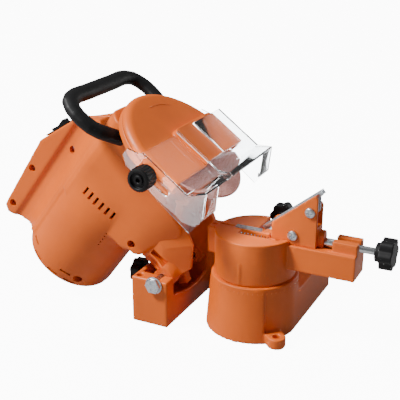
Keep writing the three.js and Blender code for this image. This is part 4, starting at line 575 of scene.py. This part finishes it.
def softMoulding(nodeName, look):
    # a moulded skin: the solid laid out in small cells along its own axes, then relaxed so that
    # every edge is rounded, and last the crisp cuts
    place = look.get("place", upright)
    mesh = mergedCopy(nodeName)
    mesh.transform(place.inverted())
    if "crisp" in look:
        fillOver(mesh, look["crisp"] + look["closed"])
        addShoulder(mesh, look["side"])
    for outline, span in look.get("slabs", []):
        addSlab(mesh, outline, span)
    piece = newObject(nodeName + "_moulded", mesh)
    cells = piece.modifiers.new("cells", "REMESH")
    cells.mode, cells.voxel_size, cells.use_smooth_shade = "VOXEL", look["cellMm"] * mm, True
    relaxed = piece.modifiers.new("relaxed", "SMOOTH")
    relaxed.factor, relaxed.iterations = mouldLook["relax"], look["passes"]
    applied(piece)
    if "shaped" in look:
        look["shaped"](piece.data)
    cuts = look.get("crisp", []) + look.get("opened", [])
    if cuts:
        cutter = newObject(nodeName + "_cuts", cutterMesh(cuts))
        opened = piece.modifiers.new("opened", "BOOLEAN")
        opened.operation, opened.solver, opened.object = "DIFFERENCE", "MANIFOLD", cutter
        applied(piece)
        bpy.data.objects.remove(cutter)
    piece.data.transform(place)
    smoothByAngle(piece.data, mouldLook["sharpDegrees"])
    settle(piece, nodeName)
    corners = sum(len(face.vertices) - 2 for face in piece.data.polygons)
    print("moulded", nodeName, corners, "triangles")


mouldings = {  # cell size in mm, relaxing passes, the frame its walls run along, and its cuts
    "shell_front": {
        "cellMm": 1.35, "passes": 10, "place": headPlace, "side": -1,
        "crisp": slotCuts(-1) + seatCuts(), "closed": ventCuts(-1, headCuts["ventSize"]),
        "opened": ventCuts(-1, headCuts["ventOpen"]) + dotCuts(),
        "slabs": [(neck["skirt"], neck["skirtSpan"])], "shaped": drawInShell},
    "shell_rear": {
        "cellMm": 1.35, "passes": 10, "place": headPlace, "side": 1, "crisp": slotCuts(1),
        "closed": ventCuts(1, headCuts["ventSize"]), "opened": ventCuts(1, headCuts["ventOpen"])},
    "guard_housing": {"cellMm": 1.0, "passes": 5, "place": headPlace},
    "guard_cover": {"cellMm": 0.9, "passes": 14, "place": headPlace},
    "head_arm": {
        "cellMm": 0.9, "passes": 7, "place": headPlace,
        "slabs": [(neck["backing"], neck["backingSpan"]), (neck["filler"], neck["fillerSpan"])],
        "shaped": drawInArm, "opened": pocketCuts()},
    "base": {"cellMm": 1.27, "passes": 3},
    "vise_table": {"cellMm": 0.85, "passes": 4},
    "vise_jaw": {"cellMm": 0.7, "passes": 4},
    "stop_carriage": {"cellMm": 0.65, "passes": 4},
    "handle": {"cellMm": 1.0, "passes": 10, "place": headPlace},
    "depth_knob": {"cellMm": 0.6, "passes": 5},
    "clamp_knob": {"cellMm": 0.6, "passes": 5},
    "stop_knob": {"cellMm": 0.6, "passes": 5},
    "switch_body": {"cellMm": 0.5, "passes": 3, "place": headPlace},
    "switch_rocker": {"cellMm": 0.5, "passes": 3, "place": headPlace},
}
for nodeName, look in mouldings.items():
    softMoulding(nodeName, look)


easedLook = {"steps": 2, "edgeDegrees": 28, "sharpDegrees": 40}


def roundedCopy(nodeName, edgeMm):
    # a turned or stamped piece: the solid's own faces with its sharp edges eased
    piece = newObject(nodeName + "_eased", mergedCopy(nodeName))
    ease = piece.modifiers.new("ease", "BEVEL")
    ease.width, ease.segments = edgeMm * mm, easedLook["steps"]
    ease.limit_method, ease.angle_limit = "ANGLE", math.radians(easedLook["edgeDegrees"])
    applied(piece)
    smoothByAngle(piece.data, easedLook["sharpDegrees"])
    settle(piece, nodeName)


easedPieces = {  # how wide the eased edge is, in mm
    "pivot_bolt": 0.5, "pivot_nut": 0.4, "pivot_washer": 0.2, "depth_screw": 0.2, "depth_nut": 0.3,
    "wheel_nut": 0.4, "flange_outer": 0.3, "flange_inner": 0.3, "pawl_screw": 0.25,
    "carriage_screw": 0.25, "stop_pawl": 0.25, "clamp_screw": 0.2, "stop_screw": 0.2,
    "jaw_plate_near": 0.25, "jaw_plate_far": 0.25, "shell_screw_1": 0.25, "shell_screw_2": 0.25,
    "shell_screw_3": 0.25, "shell_screw_4": 0.25, "shell_screw_5": 0.25, "cord_gland": 0.4,
    "grinding_wheel": 0.3,
}
for nodeName, edgeMm in easedPieces.items():
    roundedCopy(nodeName, edgeMm)
print("mouldings and eased pieces made")


shieldShape = {
    "foldMm": 1.9, "foldSteps": 4, "foldDegrees": 14, "rimMm": 0.45,
    "wallMm": 2.2, "wallSlack": 1.35, "sharpDegrees": 50,
}


def clearShield():
    # one moulded sheet: wide soft folds, and a narrow round along its cut edges, which are the
    # faces no wider than the sheet's wall
    look = shieldShape
    mesh = mergedCopy("shield")
    work = editable(mesh)
    weight = (work.edges.layers.float.get("bevel_weight_edge")
              or work.edges.layers.float.new("bevel_weight_edge"))
    narrow = set()
    for face in work.faces:
        longest = max(edge.calc_length() for edge in face.edges)
        if face.calc_area() / longest < look["wallMm"] * look["wallSlack"] * mm:
            narrow.add(face)
    for edge in work.edges:
        if len(edge.link_faces) == 2 and edge.calc_face_angle() > math.radians(look["foldDegrees"]):
            atRim = any(face in narrow for face in edge.link_faces)
            edge[weight] = look["rimMm"] / look["foldMm"] if atRim else 1.0
    piece = newObject("shield_clear", written(work, mesh))
    folds = piece.modifiers.new("folds", "BEVEL")
    folds.limit_method, folds.width = "WEIGHT", look["foldMm"] * mm
    folds.segments = look["foldSteps"]
    applied(piece)
    smoothByAngle(piece.data, look["sharpDegrees"])
    settle(piece, "shield")


springLook = {"finish": "bright_steel", "sharpDegrees": 60}


def woundSpring():
    # the spring rests on the table at one end and on the stop's carriage at the other; it keeps the
    # CAD node's shape and is attached to neither body
    piece = newObject("stop_spring_wound", mergedCopy("stop_spring"))
    smoothByAngle(piece.data, springLook["sharpDegrees"])
    piece.data.materials.append(finishes[springLook["finish"]])
    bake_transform(piece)
    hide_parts("stop_spring")


clearShield()
woundSpring()
print("shield and spring made")


# Geometry Nodes: a tree is built here, its inputs are set by their identifiers, and its result
# becomes a plain mesh
def startTree(name, sizes):
    tree = bpy.data.node_groups.new(name, "GeometryNodeTree")
    tree.interface.new_socket("Geometry", in_out="OUTPUT", socket_type="NodeSocketGeometry")
    for label, kind in sizes.items():
        tree.interface.new_socket(label, in_out="INPUT", socket_type=kind)
    given, result = tree.nodes.new("NodeGroupInput"), tree.nodes.new("NodeGroupOutput")
    return tree, given.outputs, result.inputs


def builtPiece(name, tree, values):
    piece = newObject(name, bpy.data.meshes.new(name))
    builder = piece.modifiers.new("builder", "NODES")
    builder.node_group = tree
    for item in tree.interface.items_tree:
        if item.in_out == "INPUT" and item.name in values:
            builder[item.identifier] = values[item.name]
    return applied(piece)


knobLook = {  # the shield's side knob, in mm along its own axis from the inner end
    "axis": (119.8, -81.8, 77.4), "steps": 64, "sharpDegrees": 35,
    "ribs": 26, "ribCircle": 12.55, "ribRadius": 0.75, "ribSides": 8, "ribFrom": 9.2, "ribTo": 25.4,
    "profile": (
        (0, 0.2), (6.6, 0.2), (7.2, 0.8), (7.2, 7.3), (11.6, 7.8), (12.6, 8.8), (12.75, 18),
        (12.6, 25.2), (12.1, 26.5), (10.9, 27.2), (9.4, 27.3), (8.9, 26.9), (8.5, 24.6),
        (8.1, 24.3), (5.6, 24.3), (5.3, 24.6), (5.2, 26.0), (4.8, 26.4), (2.9, 26.4), (2.5, 26.0),
        (2.4, 22.4), (0, 22.4),
    ),
}


def ribTree():
    tree, given, result = startTree("ribbedRim", {
        "Count": "NodeSocketInt", "Radius": "NodeSocketFloat", "Rib Radius": "NodeSocketFloat",
        "Low": "NodeSocketFloat", "High": "NodeSocketFloat", "Finish": "NodeSocketMaterial"})
    circle = addNode(tree, "GeometryNodeMeshCircle", None,
                     {"Vertices": given["Count"], "Radius": given["Radius"]})
    span = addNode(tree, "ShaderNodeMath", {"operation": "SUBTRACT"},
                   {0: given["High"], 1: given["Low"]})
    half = addNode(tree, "ShaderNodeMath", {"operation": "MULTIPLY_ADD", 1: 0.5},
                   {0: span.outputs[0], 2: given["Low"]})
    rib = addNode(tree, "GeometryNodeMeshCylinder",
                  {"Vertices": knobLook["ribSides"], "Side Segments": 1},
                  {"Radius": given["Rib Radius"], "Depth": span.outputs[0]})
    lift = addNode(tree, "ShaderNodeCombineXYZ", None, {"Z": half.outputs[0]})
    raised = addNode(tree, "GeometryNodeTransform", None,
                     {"Geometry": rib.outputs["Mesh"], "Translation": lift.outputs[0]})
    ribs = addNode(tree, "GeometryNodeInstanceOnPoints", None,
                   {"Points": circle.outputs["Mesh"], "Instance": raised.outputs["Geometry"]})
    plain = addNode(tree, "GeometryNodeRealizeInstances", None,
                    {"Geometry": ribs.outputs["Instances"]})
    flat = addNode(tree, "GeometryNodeSetShadeSmooth", {"Shade Smooth": False},
                   {"Geometry": plain.outputs["Geometry"]})
    dressed = addNode(tree, "GeometryNodeSetMaterial", None,
                      {"Geometry": flat.outputs["Geometry"], "Material": given["Finish"]})
    tree.links.new(dressed.outputs["Geometry"], result["Geometry"])
    return tree


def latheMesh(name, profile, place, steps):
    # a closed turned form: the profile's (radius, height) points in mm round the local Z
    work = bmesh.new()
    turns = [2 * math.pi * i / steps for i in range(steps)]
    rings = []
    for radius, height in profile:
        # a point on the axis is a pole, so its ring is one corner
        ring = [(radius * math.cos(a), radius * math.sin(a)) for a in (turns if radius else [0])]
        rings.append([work.verts.new(place @ Vector((x, y, height)) * mm) for x, y in ring])
    for lower, upper in zip(rings, rings[1:]):
        for i in range(steps):
            j = (i + 1) % steps
            corners = [lower[i % len(lower)], lower[j % len(lower)],
                       upper[j % len(upper)], upper[i % len(upper)]]
            work.faces.new(list(dict.fromkeys(corners)))
    bmesh.ops.recalc_face_normals(work, faces=work.faces)
    return written(work, bpy.data.meshes.new(name))


def shieldKnob():
    # a ribbed thumb knob with a dished face and a hub; its axis runs out of the guard's near side
    look, axis = knobLook, Vector(knobLook["axis"])
    stand = Matrix.Translation(axis) @ nearwards
    turned = latheMesh("knobBody", look["profile"], stand, look["steps"])
    body = newObject("shield_knob_turned", turned)
    smoothByAngle(body.data, look["sharpDegrees"])
    body.data.transform(headPlace)
    settle(body, "shield_knob")
    ribs = builtPiece("shield_knob_ribs", ribTree(), {
        "Count": look["ribs"], "Radius": look["ribCircle"] * mm,
        "Rib Radius": look["ribRadius"] * mm, "Low": look["ribFrom"] * mm,
        "High": look["ribTo"] * mm, "Finish": finishes["black_plastic"]})
    ribs.data.transform(headPlace @ Matrix.Translation(axis * mm) @ nearwards)
    settle(ribs, "shield_knob", standsIn=False)


rimLook = {  # in mm and degrees, round the tower's own axis
    "centre": (98, 0), "radius": 50.95, "height": 59.5, "from": -118, "to": 38, "ticks": 27,
    "long": 2.0, "wide": 0.5, "high": 0.5, "lean": 8,
}


def tickTree():
    tree, given, result = startTree("rimTicks", {
        "Count": "NodeSocketInt", "Radius": "NodeSocketFloat", "From": "NodeSocketFloat",
        "To": "NodeSocketFloat", "Size": "NodeSocketVector", "Lean": "NodeSocketFloat",
        "Finish": "NodeSocketMaterial"})
    sweep = addNode(tree, "ShaderNodeMath", {"operation": "SUBTRACT"},
                    {0: given["To"], 1: given["From"]})
    arc = addNode(tree, "GeometryNodeCurveArc", {"mode": "RADIUS"}, {
        "Resolution": given["Count"], "Radius": given["Radius"],
        "Start Angle": given["From"], "Sweep Angle": sweep.outputs[0]})
    points = addNode(tree, "GeometryNodeCurveToPoints", {"mode": "COUNT"},
                     {"Curve": arc.outputs["Curve"], "Count": given["Count"]})
    tick = addNode(tree, "GeometryNodeMeshCube", None, {"Size": given["Size"]})
    tilt = addNode(tree, "ShaderNodeCombineXYZ", None, {"Y": given["Lean"]})
    leant = addNode(tree, "GeometryNodeTransform", None,
                    {"Geometry": tick.outputs["Mesh"], "Rotation": tilt.outputs[0]})
    ticks = addNode(tree, "GeometryNodeInstanceOnPoints", None, {
        "Points": points.outputs["Points"], "Instance": leant.outputs["Geometry"],
        "Rotation": points.outputs["Rotation"]})
    plain = addNode(tree, "GeometryNodeRealizeInstances", None,
                    {"Geometry": ticks.outputs["Instances"]})
    dressed = addNode(tree, "GeometryNodeSetMaterial", None,
                      {"Geometry": plain.outputs["Geometry"], "Material": given["Finish"]})
    tree.links.new(dressed.outputs["Geometry"], result["Geometry"])
    return tree


def rimTicks():
    # small raised marks along the sloping lip of the tower
    look = rimLook
    ticks = builtPiece("tower_rim_ticks", tickTree(), {
        "Count": look["ticks"], "Radius": look["radius"] * mm,
        "From": math.radians(look["from"]), "To": math.radians(look["to"]),
        "Size": (look["wide"] * mm, look["long"] * mm, look["high"] * mm),
        "Lean": math.radians(look["lean"]), "Finish": finishes["orange_plastic"]})
    ticks.data.transform(Matrix.Translation(Vector((*look["centre"], look["height"])) * mm))
    settle(ticks, "base", standsIn=False)


shieldKnob()
rimTicks()
print("knob and rim marks made")


coverMark = {  # in mm and degrees; the section is given in half widths and in heights
    "radius": 63.5, "from": -7, "to": 32, "face": 132.5, "wide": 1.3, "high": 0.45, "axis": 77.5,
    "steps": 36, "section": ((-1, -0.2), (-0.45, 1), (0.45, 1), (1, -0.2)),
    "thinnest": 0.1, "taperRate": 8, "sharpDegrees": 50,
}


def coverArc():
    # a raised arc near the top of the guard's cover, thinning out at both ends
    look = coverMark
    work = bmesh.new()
    rows = []
    for i in range(look["steps"] + 1):
        share = i / look["steps"]
        angle = math.radians(look["from"] + (look["to"] - look["from"]) * share)
        full = min(1, share * look["taperRate"], (1 - share) * look["taperRate"])
        taper = full * (1 - look["thinnest"]) + look["thinnest"]
        row = []
        for side, lift in look["section"]:
            radius = look["radius"] + side * look["wide"] / 2 * taper
            u = look["face"] + lift * look["high"] * (taper if lift > 0 else 1)
            y, w = radius * math.sin(angle), look["axis"] + radius * math.cos(angle)
            row.append(work.verts.new(Vector((u, y, w)) * mm))
        rows.append(row)
    for a, b in zip(rows, rows[1:]):
        for k in range(len(a)):
            j = (k + 1) % len(a)
            work.faces.new((a[k], b[k], b[j], a[j]))
    work.faces.new(rows[0])
    work.faces.new(list(reversed(rows[-1])))
    bmesh.ops.recalc_face_normals(work, faces=work.faces)
    mesh = written(work, bpy.data.meshes.new("coverArc"))
    mesh.transform(headPlace)
    smoothByAngle(mesh, look["sharpDegrees"])
    settle(newObject("guard_cover_arc", mesh), "guard_cover", standsIn=False)


coverArc()
print("cover mark made")


studio = {  # the lamps' places and sizes are in metres and their power in watts
    "floorTints": ((0.3, "#9C9C9B"), (0.7, "#A2A2A1")), "floorSpeckMm": 3, "floorDetail": 2.0,
    "floorRough": 0.9, "floorHalf": 6.0, "floorDrop": 0.0005, "floorGlow": 11.0,
    "roomLight": 0.08, "roomGloss": 0.24, "roomThrough": 0.25,
    "aim": (0.05, 0, 0.1),
    "lamps": {
        "keyLamp": {"power": 84, "place": (-1.05, -0.85, 1.7), "size": 0.38},
        "fillLamp": {"power": 1.2, "place": (-0.1, -1.3, 0.2), "size": 0.6},
        "topLamp": {"power": 3, "place": (-0.1, 0.3, 1.8), "size": 0.8},
        "rearLamp": {"power": 7, "place": (0.9, 1.5, 0.7), "size": 0.8},
    },
}


def paleFloor():
    half, drop = studio["floorHalf"], studio["floorDrop"]
    mesh = bpy.data.meshes.new("floor")
    mesh.from_pydata([(-half, -half, -drop), (half, -half, -drop), (half, half, -drop),
                      (-half, half, -drop)], [], [(0, 1, 2, 3)])
    floor = newObject("floor", mesh)
    # grey paper that glows where it is seen: pale in the picture, with little light thrown back
    material, tree, place = startMaterial("palePaper")
    seen = addNode(tree, "ShaderNodeLightPath")
    straight = addNode(tree, "ShaderNodeMath", {"operation": "MAXIMUM"},
                       {0: seen.outputs["Is Camera Ray"], 1: seen.outputs["Is Transmission Ray"]})
    mirrored = addNode(tree, "ShaderNodeMath", {"operation": "MULTIPLY", 1: studio["roomGloss"]},
                       {0: seen.outputs["Is Glossy Ray"]})
    glow = addNode(tree, "ShaderNodeMath", {"operation": "MULTIPLY_ADD", 1: studio["floorGlow"]},
                   {0: straight.outputs["Value"], 2: mirrored.outputs["Value"]})
    speck = addNode(tree, "ShaderNodeTexNoise",
                    {"Scale": perMm(studio["floorSpeckMm"]), "Detail": studio["floorDetail"]},
                    {"Vector": place})
    tint = addNode(tree, "ShaderNodeValToRGB", None, {"Fac": speck.outputs["Fac"]},
                   studio["floorTints"])
    finishMaterial(
        tree, {"Roughness": studio["floorRough"], "Emission Color": (1, 1, 1, 1)},
        {"Emission Strength": glow.outputs["Value"], "Base Color": tint.outputs["Color"]})
    mesh.materials.append(material)


def softLamp(name, power, place, size):
    lamp = bpy.data.lights.new(name, "AREA")
    lamp.energy, lamp.size = power, size
    holder = newObject(name, lamp)
    holder.location = place
    holder.rotation_mode = "QUATERNION"
    holder.rotation_quaternion = (Vector(studio["aim"]) - Vector(place)).to_track_quat("-Z", "Y")


def whiteRoom():
    # dim for the shading of the part, brighter in what its glossy pieces mirror and its clear ones
    # bend, white where it is seen
    world = bpy.data.worlds.new("whiteRoom")
    bpy.context.scene.world = world
    world.use_nodes = True
    tree = world.node_tree
    tree.nodes.clear()
    path = addNode(tree, "ShaderNodeLightPath")
    mirrored = addNode(tree, "ShaderNodeMapRange",
                       {"To Min": studio["roomLight"], "To Max": studio["roomGloss"]},
                       {"Value": path.outputs["Is Glossy Ray"]})
    bent = addNode(tree, "ShaderNodeMath", {"operation": "MULTIPLY_ADD", 1: studio["roomThrough"]},
                   {0: path.outputs["Is Transmission Ray"], 2: mirrored.outputs["Result"]})
    strength = addNode(
        tree, "ShaderNodeMath", {"operation": "MULTIPLY_ADD", 1: studio["floorGlow"]},
        {0: path.outputs["Is Camera Ray"], 2: bent.outputs["Value"]})
    glow = addNode(tree, "ShaderNodeBackground", {"Color": (1, 1, 1, 1)},
                   {"Strength": strength.outputs["Value"]})
    addNode(tree, "ShaderNodeOutputWorld", None, {"Surface": glow.outputs["Background"]})


view = {  # the place in mm, the lens and the sensor as a photographer gives them
    "place": (437.2, -827.3, 492.8), "lens": 77.42, "sensor": 36, "clip": (0.05, 50),
    "right": (0.8962, 0.4437, 0.0), "up": (-0.1588, 0.3207, 0.9338),
}


def photoCamera():
    camera = bpy.data.cameras.new("camera")
    camera.sensor_width, camera.lens = view["sensor"], view["lens"]
    camera.clip_start, camera.clip_end = view["clip"]
    holder = newObject("camera", camera)
    right = Vector(view["right"]).normalized()
    up = Vector(view["up"]).normalized()
    back = right.cross(up).normalized()
    turn = Matrix((right, up, back)).transposed().to_4x4()
    holder.matrix_world = Matrix.Translation(Vector(view["place"]) * mm) @ turn
    bpy.context.scene.camera = holder


paleFloor()
for lampName, lampLook in studio["lamps"].items():
    softLamp(lampName, **lampLook)
whiteRoom()
photoCamera()
print("studio set")
